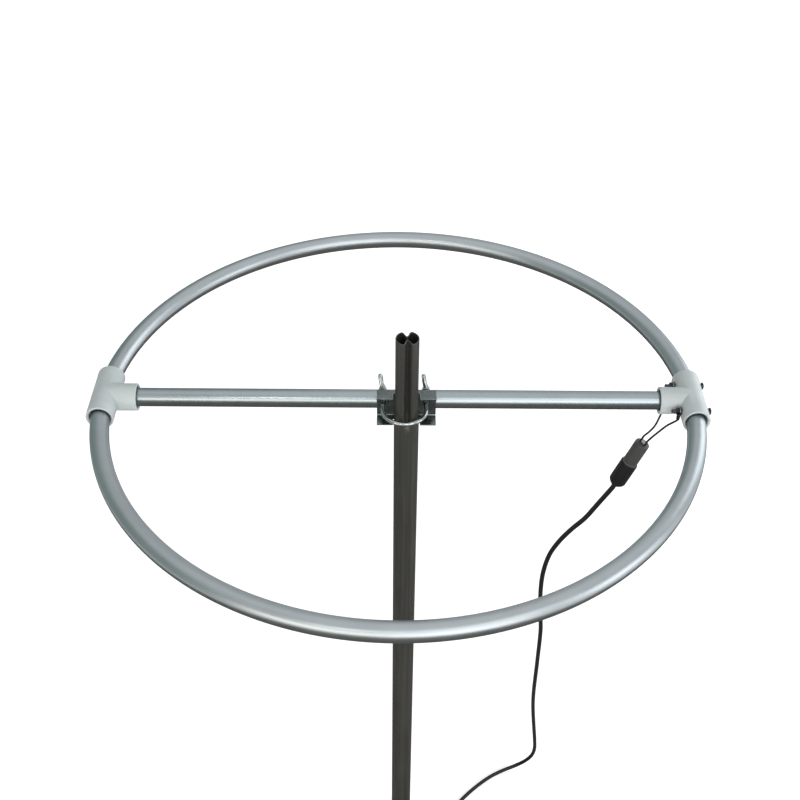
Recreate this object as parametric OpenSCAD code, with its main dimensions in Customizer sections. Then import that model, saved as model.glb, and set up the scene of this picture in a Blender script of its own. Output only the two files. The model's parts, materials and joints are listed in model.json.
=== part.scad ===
// Circular television aerial: two half rings and a boom joined by plastic tees,
// clamped to a crimped mast, with its matching transformer and its coax lead.
// Millimetres. +Z runs up the mast, +Y points away from the clamp's front,
// and the origin is the centre of the mast's open foot.

/* [Mast] */
// Outside diameter of the mast tube
mast_d = 25.4; // [22:0.2:32]
// Wall of the mast tube
mast_wall = 1; // [0.9:0.1:2]
// Length of the mast section
mast_len = 1000; // [900:10:1400]
// Height of the mast's end above the ring plane
mast_above = 96; // [70:1:140]
// Length of the crimped end
crimp_len = 112; // [60:1:130]
// Thickness of the crimped end between its grooves
crimp_waist = 7; // [5:0.5:10]
// Turn of the crimped end about the mast
crimp_turn = 5; // [0:1:90]

/* [Ring and boom] */
// Centre-line diameter of the ring
ring_d = 600; // [420:10:800]
// Outside diameter of the ring and boom tubes
tube_d = 19; // [16:0.5:22]
// Wall of the ring and boom tubes
tube_wall = 1.2; // [0.8:0.1:2]
// Distance of the ring's centre to the left of the mast
ring_shift = 8; // [0:1:30]

/* [Tees] */
// Length of a tee's run
tee_run = 67; // [62:1:80]
// Distance from a tee's run axis to the mouth of its branch
tee_branch = 33; // [32:1:50]
// Depth of each socket to its stop
socket_depth = 21; // [16:1:22]
// Wall of a tee at its mouths
tee_wall = 3; // [2:0.1:4]
// Least radial play of a tube in its socket
socket_play = 0.7; // [0.4:0.1:1.2]

/* [Clamp] */
// Width of the saddle bracket
bracket_w = 60; // [58:1:80]
// Height of the saddle bracket
bracket_h = 34.6; // [28:0.2:44]
// Depth of the saddle's flanges in front of the boom
bracket_depth = 16; // [11:0.5:18]
// Height of the saddle's middle above the boom's axis
bracket_rise = 3.5; // [0:0.5:5]
// Sheet thickness of the saddle
bracket_t = 1.5; // [1:0.1:2.5]
// Pitch of the saddle's teeth
tooth_pitch = 3; // [2.5:0.1:4]
// Diameter of the U-bolt's rod
rod_d = 4.6; // [4.2:0.1:6]
// Distance between the U-bolt's legs
leg_spacing = 44.5; // [42:0.5:46]
// Distance of the U-bolt's middle to the left of the mast
leg_shift = 2; // [0:0.5:3]
// Travel of the U-bolt when its nuts are backed off
bolt_travel = 8; // [4:0.5:8]
// Diameter of a wing nut's hub
nut_d = 10; // [10:0.5:14]
// Height of a wing nut's hub
nut_h = 6.5; // [6:0.5:9]
// Span of a wing nut over its wings
wing_span = 30; // [26:1:36]

/* [Terminals] */
// Diameter of the terminal bolts
bolt_d = 4; // [3:0.5:5]
// Distance of each terminal bolt from the boom axis
bolt_y = 20; // [20:0.5:23]
// Height of the terminal bolts above the ring's plane
bolt_z = 3; // [0:0.5:4]
// Thread left in front of each terminal nut
bolt_end = 5; // [3:0.5:8]

/* [Transformer and lead] */
// Diameter of the transformer's case
case_d = 16; // [15:0.5:20]
// Length of the transformer's case
case_len = 27.5; // [26:0.5:40]
// Tilt of the transformer from the vertical
case_tilt = 20; // [15:1:27]
// Diameter of the plug's moulded boot
boot_d = 18.8; // [15:0.2:20]
// Length of the plug's moulded boot
boot_len = 34.5; // [30:0.5:42]
// Diameter of one conductor of the twin lead
wire_d = 2.2; // [1.4:0.1:2.4]
// Distance between the twin lead's conductors
wire_gap = 7.2; // [5:0.1:8]
// Turn of the twin lead about the transformer's axis
wire_turn = 30; // [0:5:40]
// Diameter of the coax cable
coax_d = 5.5; // [5:0.1:5.8]

/* [Coil] */
// Inside radius of the coil's centre line
coil_in_r = 23; // [22:0.5:26]
// Distance between neighbouring turns of a layer
coil_pitch = 7; // [6.9:0.1:7.6]
// Turns in each of the two lower layers
coil_turns = 4; // [3:1:4]

/* [Hidden] */
$fn = 48;

// Named clearances
run_gap = 0.3;
fit_gap = 0.05;
hole_gap = 0.2;
touch = 0.01;

// Ring, boom and tees
ring_r = ring_d / 2;
ring_z = mast_len - mast_above;
tube_r = tube_d / 2;
stop_y = tee_run / 2 - socket_depth;
stop_x = tee_branch - socket_depth;
function bow(y) = ring_r - sqrt(ring_r * ring_r - y * y);
bow_in = bow(stop_y);
bow_out = bow(tee_run / 2);
tee_x = ring_r - (bow_in + bow_out) / 2;
socket_r = tube_r + socket_play + (bow_out - bow_in) / 2;
tee_r = socket_r + tee_wall;
stop_r = tube_r - 0.5;
boom_end = tee_x - stop_x;

// Clamp, from the boom's axis forward to the mast's axis
mast_r = mast_d / 2;
web_y = -(tube_r + bracket_t);
mast_y = web_y - 2 * run_gap - mast_r;
flange_y = web_y - bracket_depth + bracket_t;
rod_r = rod_d / 2;
leg_x = leg_spacing / 2;
leg_at = ring_shift - leg_shift;
arc_y = mast_y - mast_r - run_gap - rod_r + leg_x;
washer_t = 1.2;
washer_r = rod_r + 3.6;
nut_y = tube_r + washer_t + run_gap;
wing_h = nut_h + 8;
leg_end = nut_y + nut_h + bolt_travel - 3;

// Terminals, from the run's inner side towards the ring's centre
head_h = 2.6;
plate_t = 0.8;
lug_x = tee_x - tee_r - plate_t;
term_nut_h = 3.2;
term_nut_x = lug_x - plate_t;
bolt_tip = term_nut_x - term_nut_h - bolt_end;
lug_drop = 9.6;
barrel_r = 1.6;

// Transformer: its place is that of the case's top, measured from the right tee
case_r = case_d / 2;
boot_r = boot_d / 2;
case_at = [tee_x - 41.5, -2, -(tee_r + 43)];
collar_t = 2.2;
plug_len = case_len + collar_t + boot_len;
web_len = 5;

// Sizes of the coaxial plug and socket pair
shell_r = 4.75;
shell_wall = 0.55;
pin_r = 1.2;
socket_wall = 0.7;
socket_len = 14;
grip_len = 30;
grip_r = 6.5;
plug_floor = 12;

// Hand-laid route of the hanging coax down to the floor and to the coil
ring_at = [-ring_shift, -mast_y, ring_z];
case_dir = [sin(case_tilt), 0, cos(case_tilt)];
wire_side = [-sin(wire_turn) * cos(case_tilt), cos(wire_turn), sin(wire_turn) * sin(case_tilt)];
boot_at = ring_at + case_at - plug_len * case_dir;
floor_points = [[214, 25, 755], [202, 27, 729], [189, 31, 706], [177, 35, 680], [169, 40, 650],
    [166, 47, 605], [170, 58, 540], [177, 71, 480], [182, 91, 390], [187, 114, 290],
    [192, 129, 230], [199.5, 143, 165], [206, 154.5, 112], [209.5, 163, 75], [208, 169.5, 46],
    [199, 173.5, 23.5], [183, 173.5, 9], [164, 168.5, 3.4], [143, 157, 3], [121, 140, 3],
    [99, 119, 3], [78, 94, 3], [59, 63, 3], [48, 28, 3]];

// Coil of spare cable in four layers, wound in, out, in and out again
coil_r = coil_in_r + coil_pitch * coil_turns;
coil_at = [45 + coil_r, -20];
tie_t = 1;
coil_z = tie_t + run_gap + coax_d / 2;
layer_rise = coax_d + 0.7;
tie_angle = 60;

// ---- Geometry helpers ----
function unit(v) = v / norm(v);
function smooth(t) = t * t * (3 - 2 * t);

// Smooth curve through points, with a ring about every step
function spline(a, b, c, d, t) =
    0.5 * (2 * b + (c - a) * t + (2 * a - 5 * b + 4 * c - d) * t * t
    + (3 * b - a - 3 * c + d) * t * t * t);
function curve(p, step) = let (n = len(p) - 1) concat(
    [for (i = [0:n - 1])
        let (a = i == 0 ? 2 * p[0] - p[1] : p[i - 1],
            d = i == n - 1 ? 2 * p[n] - p[n - 1] : p[i + 2],
            k = max(1, round(norm(p[i + 1] - p[i]) / step)))
        for (j = [0:k - 1]) spline(a, p[i], p[i + 1], d, j / k)],
    [p[n]]);

// Directions along a path, and a side vector carried along it without twist
function directions(p) = let (n = len(p) - 1)
    [for (i = [0:n]) unit(p[min(i + 1, n)] - p[max(i - 1, 0)])];
function side_vectors(t, u0) =
    [for (i = 0, u = unit(u0 - (u0 * t[0]) * t[0]); i < len(t);
        i = i + 1, u = i < len(t) ? unit(u - (u * t[i]) * t[i]) : u) u];

// Triangles of a closed skin over rows of points that all run the same way round
function skin_faces(rows, n) = concat(
    [[for (k = [0:n - 1]) k]],
    [for (i = [0:rows - 2]) for (k = [0:n - 1])
        let (a = i * n + k, b = a + n, c = (i + 1) * n + (k + 1) % n) [a, b, c]],
    [for (i = [0:rows - 2]) for (k = [0:n - 1])
        let (a = i * n + k, c = (i + 1) * n + (k + 1) % n, d = c - n) [a, c, d]],
    [[for (k = [n - 1:-1:0]) (rows - 1) * n + k]]);

// The same for rows that close on themselves, such as a tube's two walls
function loop_faces(rows, n) =
    [for (i = [0:rows - 1]) for (k = [0:n - 1]) for (h = [0, 1])
        let (a = i * n + k, b = (i + 1) % rows * n + k,
            c = (i + 1) % rows * n + (k + 1) % n, d = i * n + (k + 1) % n)
        h == 0 ? [a, b, c] : [a, c, d]];

// A tube of the given diameter swept along a path
module sweep_tube(p, d, sides, up) {
    t = directions(p);
    u = side_vectors(t, up);
    pts = [for (i = [0:len(p) - 1]) for (k = [0:sides - 1])
        let (a = 360 * (k + 0.5) / sides)
        p[i] + d / 2 * (cos(a) * u[i] + sin(a) * cross(t[i], u[i]))];
    polyhedron(points = pts, faces = skin_faces(len(p), sides), convexity = 8);
}

// A bar of round section along +X from x0 to x1
module rod_x(r, x0, x1) {
    translate([x0, 0, 0])
        rotate([0, 90, 0])
            cylinder(r = r, h = x1 - x0);
}

// A bar of round section along +Y from y0 to y1
module rod_y(r, y0, y1) {
    translate([0, y0, 0])
        rotate([-90, 0, 0])
            cylinder(r = r, h = y1 - y0);
}

// Rectangle about the origin with true round corners
module round_rect(w, h, r) {
    square([w - 2 * r, h], center = true);
    square([w, h - 2 * r], center = true);
    for (x = [-1, 1], y = [-1, 1])
        translate([x * (w / 2 - r), y * (h / 2 - r)])
            circle(r = r);
}

module in_ring() {
    translate(ring_at)
        children();
}

// Origin at the centre of the transformer's top face, +Z along its axis
module in_case() {
    translate(ring_at + case_at)
        rotate([0, case_tilt, 0])
            children();
}

// Origin where the cable enters the moulded boot, +Z towards the transformer
module in_boot() {
    in_case()
        translate([0, 0, -plug_len])
            children();
}

// ---- Mast ----
crimp_z = mast_len - crimp_len;
crimp_run = 26;
crimp_inset = 0.05;
crimp_r = mast_r - crimp_inset;
crimp_wall = mast_wall - 3 * crimp_inset;
crimp_fit = mast_wall + 0.1;
groove = crimp_r - crimp_fit - crimp_waist / 2;

// Outline of the crimp: two lobes with a groove in front and behind
function crimp_point(a, t) =
    let (x = (crimp_r - crimp_fit * t) * cos(a), g = x / (0.22 * crimp_r))
    [x, sin(a) * (crimp_r - t * (crimp_fit + groove * exp(-g * g)))];
crimp_sides = 64;
function crimp_outline(t) =
    [for (k = [0:crimp_sides - 1]) crimp_point(360 / crimp_sides * k, t)];
function inset(p, w) = let (n = len(p))
    [for (k = [0:n - 1])
        let (e = unit(p[(k + 1) % n] - p[(k + n - 1) % n])) p[k] + w * [-e[1], e[0]]];

// Rows of the crimp's skin: up the outside, then back down the inside. It starts
// a little below its own place, inside the wall of the round tube.
crimp_rows = concat([[crimp_z - 2, 0]],
    [for (k = [0:6]) [crimp_z + crimp_run * k / 6, smooth(k / 6)]], [[mast_len, 1]]);
crimp_last = len(crimp_rows) - 1;
crimp_skin = concat(
    [for (q = crimp_rows) for (c = crimp_outline(q[1])) [c[0], c[1], q[0]]],
    [for (i = [crimp_last:-1:0]) let (q = crimp_rows[i])
        for (c = inset(crimp_outline(q[1]), crimp_wall)) [c[0], c[1], q[0]]]);

module mast() {
    color([0.26, 0.26, 0.25]) {
        difference() {
            cylinder(r = mast_r, h = crimp_z);
            translate([0, 0, -1])
                cylinder(r = mast_r - mast_wall, h = crimp_z + 2);
        }
        rotate([0, 0, crimp_turn])
            polyhedron(points = crimp_skin, convexity = 6,
                faces = loop_faces(2 * crimp_last + 2, crimp_sides));
    }
}

// ---- Ring and boom ----
// Half of the ring, its ends cut square to the sockets that stop them
module half_ring(z) {
    difference() {
        rotate_extrude(angle = 180, $fn = 180)
            translate([ring_r, 0])
                difference() {
                    circle(r = tube_r);
                    circle(r = tube_r - tube_wall);
                }
        translate([-ring_r - tube_d, -1, -tube_d])
            cube([2 * ring_r + 2 * tube_d, stop_y + 1, 2 * tube_d]);
        translate([0, bolt_y, z])
            rod_x(bolt_d / 2 + hole_gap, ring_r - tube_d, ring_r + tube_d);
    }
}

module ring_rear() {
    color([0.66, 0.70, 0.73])
        in_ring()
            half_ring(bolt_z);
}

module ring_front() {
    color([0.66, 0.70, 0.73])
        in_ring()
            mirror([0, 1, 0])
                half_ring(bolt_z);
}

module boom() {
    color([0.78, 0.80, 0.82])
        in_ring()
            difference() {
                rod_x(tube_r, -boom_end, boom_end);
                rod_x(tube_r - tube_wall, -boom_end - 1, boom_end + 1);
                for (s = [-1, 1])
                    translate([leg_at + s * leg_x, 0, 0])
                        rod_y(rod_r + run_gap, -tube_d, tube_d);
            }
}

// ---- Tees ----
// One arm's outside, from the origin along +Z, with a softened mouth
module arm(len) {
    rotate_extrude()
        polygon([[0, 0], [tee_r, 0], [tee_r, len - 1], [tee_r - 0.3, len - 0.3],
            [tee_r - 1, len], [0, len]]);
}

// One arm's socket, its lead-in and the smaller bore past the stop
module arm_bore(len, stop) {
    translate([0, 0, stop])
        cylinder(r = socket_r, h = len - stop + 1);
    translate([0, 0, len - 1])
        cylinder(r1 = socket_r, r2 = socket_r + 1, h = 1);
    translate([0, 0, -0.5])
        cylinder(r = stop_r, h = stop + 1);
}

// Tee with its run along Y and its branch towards -X
module tee(drilled) {
    difference() {
        union() {
            for (s = [-90, 90])
                rotate([s, 0, 0])
                    arm(tee_run / 2);
            rotate([0, -90, 0])
                arm(tee_branch);
        }
        for (s = [-90, 90])
            rotate([s, 0, 0])
                arm_bore(tee_run / 2, stop_y);
        rotate([0, -90, 0])
            arm_bore(tee_branch, stop_x);
        if (drilled)
            for (s = [-1, 1])
                translate([0, s * bolt_y, bolt_z])
                    rod_x(bolt_d / 2 + hole_gap, -2 * tee_r, 2 * tee_r);
    }
}

module tee_right() {
    color([0.77, 0.80, 0.80])
        in_ring()
            translate([tee_x, 0, 0])
                tee(true);
}

module tee_left() {
    color([0.77, 0.80, 0.80])
        in_ring()
            translate([-tee_x, 0, 0])
                mirror([1, 0, 0])
                    tee(false);
}

// ---- Clamp ----
vee = 55;
vee_y = mast_y + (mast_r + run_gap) / sin(vee);
vee_x = (vee_y - web_y) * tan(vee);
notch_x = mast_r + 1;
tooth_rows = floor((notch_x - vee_x) / sin(vee) / tooth_pitch);
tooth_depth = 1;

// Right-hand edge of the notch, as a row of teeth whose tips bear on the mast
vee_edge = [for (i = [0:tooth_rows - 1])
    for (q = [0, 1])
        [vee_x, web_y] + (i + q / 2) * tooth_pitch * [sin(vee), -cos(vee)]
        + q * tooth_depth * [cos(vee), sin(vee)]];

// The notch's right-hand half: teeth at the back, then a straight mouth
notch = concat([[0, web_y]], vee_edge,
    [[notch_x, vee_edge[len(vee_edge) - 1][1]], [notch_x, flange_y - 1], [0, flange_y - 1]]);

module saddle_profile() {
    bend = bracket_t + 1.5;
    depth = -tube_r - flange_y;
    difference() {
        saddle_side(depth, bracket_h, bend);
        translate([-bracket_t, 0])
            saddle_side(depth, bracket_h - 2 * bracket_t, bend - bracket_t);
    }
}

// Rectangle from the boom's front towards -X, its two rear corners round
module saddle_side(depth, h, r) {
    translate([-depth, -h / 2])
        square([depth - r, h]);
    translate([-r - 0.1, -h / 2 + r])
        square([r + 0.1, h - 2 * r]);
    for (s = [-1, 1])
        translate([-r, s * (h / 2 - r)])
            circle(r = r);
}

module saddle_bracket() {
    color([0.62, 0.65, 0.66])
        in_ring()
            translate([ring_shift, 0, 0])
                difference() {
                    translate([-bracket_w / 2, -tube_r, bracket_rise])
                        rotate([90, 0, 90])
                            linear_extrude(bracket_w)
                                saddle_profile();
                    translate([0, 0, -bracket_h])
                        linear_extrude(2 * bracket_h)
                            union() {
                                polygon(notch);
                                mirror([1, 0])
                                    polygon(notch);
                            }
                    for (s = [-1, 1])
                        translate([s * leg_x - leg_shift, 0, 0])
                            rod_y(rod_r + run_gap, -tube_d, 0);
                }
}

module u_bolt() {
    color([0.80, 0.82, 0.84])
        in_ring()
            translate([leg_at, 0, 0]) {
                translate([0, arc_y, 0])
                    rotate([0, 0, 180])
                        rotate_extrude(angle = 180)
                            translate([leg_x, 0])
                                circle(r = rod_r);
                for (s = [-1, 1])
                    translate([s * leg_x, 0, 0]) {
                        rod_y(rod_r, arc_y, leg_end - 1);
                        translate([0, leg_end - 1, 0])
                            rotate([-90, 0, 0])
                                cylinder(r1 = rod_r, r2 = rod_r - 0.7, h = 1);
                    }
            }
}

module clamp_washers() {
    color([0.74, 0.76, 0.78])
        in_ring()
            for (s = [-1, 1])
                translate([leg_at + s * leg_x, 0, 0])
                    difference() {
                        rod_y(washer_r, tube_r, tube_r + washer_t);
                        rod_y(rod_r + run_gap, 0, tube_d);
                    }
}

// Right half of a wing nut's outline, from its foot round the wing to the hub's top:
// +X outwards, +Y along the thread
wing_t = 4;
wing_r = 4.5;
wing_side = concat(
    [[nut_d / 2 - 0.5, 0.8], [wing_span / 2 - 1.2, nut_h - 2]],
    [for (k = [0:8]) let (a = 22.5 * k)
        [wing_span / 2 - wing_r * (1 - cos(a)), wing_h - wing_r * (1 - sin(a))]],
    [[nut_d / 2 - 2, nut_h - 1]]);
wing_outline = concat(wing_side,
    [for (k = [len(wing_side) - 1:-1:0]) [-wing_side[k][0], wing_side[k][1]]]);

// Wing nut along +Y from the origin, its wings turned by lean from the vertical
module wing_nut(lean) {
    difference() {
        union() {
            rotate([-90, 0, 0])
                cylinder(r1 = nut_d / 2, r2 = nut_d / 2 - 1.5, h = nut_h);
            rotate([0, 90 + lean, 0])
                translate([0, 0, -wing_t / 2])
                    linear_extrude(wing_t)
                        polygon(wing_outline);
        }
        rod_y(rod_r + fit_gap, -1, wing_h + 1);
    }
}

module wing_nut_left() {
    color([0.80, 0.82, 0.84])
        in_ring()
            translate([leg_at - leg_x, nut_y, 0])
                wing_nut(-12);
}

module wing_nut_right() {
    color([0.80, 0.82, 0.84])
        in_ring()
            translate([leg_at + leg_x, nut_y, 0])
                wing_nut(-12);
}

// ---- Terminals ----
// Each piece at both terminal bolts
module at_bolts() {
    in_ring()
        for (s = [-1, 1])
            translate([0, s * bolt_y, bolt_z])
                children();
}

module terminal_bolts() {
    head_r = bolt_d * 0.95;
    color([0.72, 0.74, 0.75])
        at_bolts() {
            rod_x(bolt_d / 2, bolt_tip, tee_x + tee_r + 0.5);
            translate([tee_x + tee_r, 0, 0])
                rotate([0, 90, 0])
                    rotate_extrude()
                        polygon([[0, 0], [head_r, 0], [head_r, head_h * 0.45],
                            [head_r * 0.85, head_h * 0.8], [head_r * 0.5, head_h], [0, head_h]]);
        }
}

module terminal_washers() {
    color([0.80, 0.82, 0.83])
        at_bolts()
            difference() {
                rod_x(bolt_d * 1.1, lug_x, lug_x + plate_t);
                rod_x(bolt_d / 2 + hole_gap, lug_x - 1, lug_x + 2);
            }
}

barrel_x = lug_x - plate_t;

module terminal_lugs() {
    color([0.75, 0.72, 0.62])
        at_bolts()
            difference() {
                union() {
                    rod_x(bolt_d * 0.95, lug_x - plate_t, lug_x);
                    translate([lug_x - plate_t, -1.5, -7])
                        cube([plate_t, 3, 7]);
                    translate([barrel_x, 0, -lug_drop])
                        cylinder(r = barrel_r, h = 5);
                }
                rod_x(bolt_d / 2 + hole_gap, lug_x - 4, lug_x + 2);
                translate([barrel_x, 0, -lug_drop - 1])
                    cylinder(r = wire_d / 2 + fit_gap, h = 5);
            }
}

module terminal_nuts() {
    color([0.80, 0.82, 0.83])
        at_bolts()
            difference() {
                translate([term_nut_x - term_nut_h, 0, 0])
                    rotate([0, 90, 0])
                        cylinder(r = bolt_d * 1.01, h = term_nut_h, $fn = 6);
                rod_x(bolt_d / 2 + touch, term_nut_x - term_nut_h - 1, term_nut_x + 1);
            }
}

// ---- Twin lead ----
// From a lug's barrel to the transformer's top; side is -1 in front, 1 behind
function lead_points(side) =
    let (a = [barrel_x, side * bolt_y, bolt_z + 4 - lug_drop],
        b = [barrel_x, side * bolt_y, bolt_z - lug_drop - 2],
        d = case_at + side * wire_gap / 2 * wire_side,
        c = d + web_len * case_dir)
    concat([a, b],
        [for (q = side < 0 ? front_bends : rear_bends) b + q[0] * (c - b) + q[1]],
        [c + wire_d * case_dir, c, d + wire_d * case_dir, d]);
front_bends = [[0.33, [-0.5, 1.5, 0.8]], [0.66, [-1.3, 0.3, 0.8]]];
rear_bends = [[0.44, [3.2, 1.8, -2.7]], [0.68, [4.4, 1.6, -3.4]], [0.84, [2.8, 1.2, -2.3]]];

module lead(side) {
    color([0.10, 0.10, 0.10])
        in_ring()
            sweep_tube(curve(lead_points(side), 5), wire_d, 8, [0, 1, 0]);
}

module lead_front() {
    lead(-1);
}

module lead_rear() {
    lead(1);
}

module lead_web() {
    w = wire_gap - wire_d - 0.1;
    color([0.80, 0.80, 0.74])
        in_case()
            rotate([0, 0, wire_turn])
                translate([-0.35, -w / 2, 0])
                    cube([0.7, w, web_len - 2]);
}

// ---- Transformer ----
case_wall = 1.6;
cavity_r = case_r - case_wall;
wind_r = cavity_r - 0.5;
core_r = wind_r - 1;
core_len = 8;
socket_or = shell_r + fit_gap + socket_wall;
insulator_t = 4;
socket_top = socket_len - case_len;

module balun_case() {
    color([0.27, 0.28, 0.27])
        in_case()
            difference() {
                rotate_extrude()
                    polygon([[0, -case_len], [case_r, -case_len], [case_r, -1.5],
                        [case_r - 0.5, -0.5], [case_r - 1.5, 0], [0, 0]]);
                translate([0, 0, socket_top])
                    cylinder(r = cavity_r, h = -2.6 - socket_top);
                translate([0, 0, -case_len - 1])
                    cylinder(r = socket_or, h = socket_len + 2);
            }
}

module balun_collar() {
    color([0.55, 0.56, 0.55])
        in_case()
            translate([0, 0, -case_len - collar_t])
                difference() {
                    cylinder(r = case_r + 0.3, h = collar_t);
                    translate([0, 0, -1])
                        cylinder(r = socket_or, h = collar_t + 2);
                }
}

module balun_socket() {
    color([0.75, 0.75, 0.72])
        in_case()
            difference() {
                translate([0, 0, -case_len - collar_t])
                    cylinder(r = socket_or, h = socket_len + collar_t);
                translate([0, 0, -case_len - collar_t - 1])
                    cylinder(r = shell_r + fit_gap, h = socket_len + collar_t + 2);
            }
}

module balun_insulator() {
    color([0.90, 0.90, 0.86])
        in_case()
            translate([0, 0, socket_top - insulator_t])
                difference() {
                    cylinder(r = shell_r + fit_gap, h = insulator_t);
                    translate([0, 0, -1])
                        cylinder(r = pin_r + 0.8, h = insulator_t + 2);
                }
}

module balun_contact() {
    color([0.80, 0.68, 0.40])
        in_case()
            difference() {
                translate([0, 0, 1 - case_len])
                    cylinder(r = pin_r + 0.8, h = socket_len - 1);
                translate([0, 0, -case_len])
                    cylinder(r = pin_r + fit_gap, h = socket_len - 1.5);
            }
}

// Two-hole ferrite that stands on the socket
module balun_core() {
    color([0.20, 0.20, 0.21])
        in_case()
            translate([0, 0, socket_top])
                difference() {
                    cylinder(r = core_r, h = core_len);
                    for (s = [-1, 1])
                        translate([0, s * core_r * 0.45, -1])
                            cylinder(r = core_r * 0.2, h = core_len + 2);
                }
}

module balun_winding() {
    color([0.62, 0.32, 0.16])
        in_case()
            translate([0, 0, socket_top + 2])
                difference() {
                    cylinder(r = wind_r, h = core_len - 3);
                    translate([0, 0, -1])
                        cylinder(r = core_r, h = core_len);
                }
}

// ---- Coaxial plugs ----
// Moulded grip from the cable's entry up, rounded in to the cable
module plug_grip(r, len, taper) {
    end_r = coax_d / 2 + 1.2;
    difference() {
        rotate_extrude()
            polygon(concat([[0, 0]],
                [for (k = [0:8]) let (s = 1 - k / 8)
                    [end_r + (r - end_r) * (1 - pow(s, 1.5)), taper * k / 8]],
                [[r, len - 0.8], [r - 0.8, len], [0, len]]));
        translate([0, 0, plug_floor])
            cylinder(r = shell_r + fit_gap, h = len);
    }
}

module plug_shell(reach) {
    translate([0, 0, plug_floor])
        difference() {
            cylinder(r = shell_r, h = reach - plug_floor);
            translate([0, 0, -1])
                cylinder(r = shell_r - shell_wall, h = reach);
        }
}

module plug_insulator() {
    translate([0, 0, plug_floor])
        difference() {
            cylinder(r = shell_r - shell_wall, h = 12);
            translate([0, 0, -1])
                cylinder(r = pin_r, h = 14);
        }
}

module plug_pin(tip) {
    translate([0, 0, plug_floor])
        cylinder(r = pin_r, h = tip - plug_floor - 1);
    translate([0, 0, tip - 1])
        cylinder(r1 = pin_r, r2 = pin_r - 0.5, h = 1);
}

coax_reach = boot_len + collar_t + socket_len - insulator_t - run_gap;

module coax_boot() {
    color([0.09, 0.09, 0.09])
        in_boot()
            plug_grip(boot_r, boot_len, 7);
}

module coax_shell() {
    color([0.76, 0.77, 0.78])
        in_boot()
            plug_shell(coax_reach);
}

module coax_insulator() {
    color([0.92, 0.92, 0.90])
        in_boot()
            plug_insulator();
}

module coax_pin() {
    color([0.80, 0.68, 0.40])
        in_boot()
            plug_pin(coax_reach + 1);
}

// ---- Cable ----
cable_points = concat([boot_at, boot_at - coax_d * case_dir], floor_points,
    [[45, coil_at[1] + 2 * coax_d + 4, coil_z], [45, coil_at[1] + coax_d + run_gap, coil_z]]);
cable_path = curve(cable_points, 15);

module coax_cable() {
    color([0.08, 0.08, 0.08])
        sweep_tube(cable_path, coax_d, 8, [0, 1, 0]);
}

// Each layer is [turns, radius at its start, growth of the radius in a turn]. The
// climb to the next layer takes the half turn after it, at the radius it ends on.
layers = [[coil_turns, coil_r, -coil_pitch], [coil_turns, coil_in_r, coil_pitch],
    [coil_turns - 0.5, coil_r, -coil_pitch],
    [coil_turns - 1, coil_in_r + coil_pitch / 2, coil_pitch]];
function turns_before(n) = n == 0 ? 0 : turns_before(n - 1) + layers[n - 1][0] + 0.5;
function on_coil(turn, r, z) =
    [coil_at[0] + r * cos(180 + 360 * turn), coil_at[1] + r * sin(180 + 360 * turn), z];
loop_points = [for (n = [0:3])
    let (l = layers[n], t0 = turns_before(n), z = coil_z + n * layer_rise,
        steps = 24 * l[0], climb = n < 3 ? 11 : 0)
        for (i = [0:steps + climb])
            i <= steps ? on_coil(t0 + i / 24, l[1] + l[2] * i / 24, z)
            : on_coil(t0 + i / 24, l[1] + l[2] * l[0],
                z + layer_rise * smooth((i - steps) / 12))];
tail_start = loop_points[len(loop_points) - 1];
tv_at = [tail_start[0] - 4, tail_start[1] - 118, grip_r];
tail_points = curve([tail_start, tail_start - [0, 14, 0], tail_start - [0, 30, 0],
    tail_start - [1, 50, 4], tail_start - [2, 72, 11],
    [tail_start[0] - 3, tail_start[1] - 94, grip_r + 0.8],
    [tail_start[0] - 4, tail_start[1] - 110, grip_r], tv_at], 12);
coil_path = concat([loop_points[0] + [0, coax_d, 0]], loop_points,
    [for (i = [1:len(tail_points) - 1]) tail_points[i]]);

// Checks printed with the model: the coil's least gap to itself and the lengths
least_gap = min([for (i = [0:len(coil_path) - 13]) for (j = [i + 12:len(coil_path) - 1])
    norm(coil_path[i] - coil_path[j])]) - coax_d;
function path_length(p, i = 0, s = 0) =
    i >= len(p) - 1 ? s : path_length(p, i + 1, s + norm(p[i + 1] - p[i]));
echo(least_gap_of_coil = least_gap);
echo(hanging_length = path_length(cable_path), coil_length = path_length(coil_path));
echo(rings_on_cable = len(cable_path), rings_on_coil = len(coil_path));

module cable_coil() {
    color([0.08, 0.08, 0.08])
        sweep_tube(coil_path, coax_d, 6, [0, 0, 1]);
}

// Strap round all the turns at one place
module cable_tie() {
    w = coil_r - coil_in_r + coax_d + 2 * run_gap;
    h = 3 * layer_rise + coax_d + 2 * run_gap;
    color([0.15, 0.15, 0.16])
        translate([coil_at[0], coil_at[1], coil_z + 1.5 * layer_rise])
            rotate([0, 0, tie_angle])
                translate([(coil_r + coil_in_r) / 2, 5, 0])
                    rotate([90, 0, 0])
                        linear_extrude(10)
                            difference() {
                                round_rect(w + 2 * tie_t, h + 2 * tie_t, 3);
                                round_rect(w, h, 2);
                            }
}

// Origin where the cable enters the television plug, +Z towards its pin
module in_tv_plug() {
    translate(tv_at)
        rotate([90, 0, 0])
            children();
}

tv_reach = grip_len + 10;

module tv_plug_grip() {
    color([0.09, 0.09, 0.09])
        in_tv_plug()
            plug_grip(grip_r, grip_len, 8);
}

module tv_plug_shell() {
    color([0.76, 0.77, 0.78])
        in_tv_plug()
            plug_shell(tv_reach);
}

module tv_plug_insulator() {
    color([0.92, 0.92, 0.90])
        in_tv_plug()
            plug_insulator();
}

module tv_plug_pin() {
    color([0.80, 0.68, 0.40])
        in_tv_plug()
            plug_pin(tv_reach);
}

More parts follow.
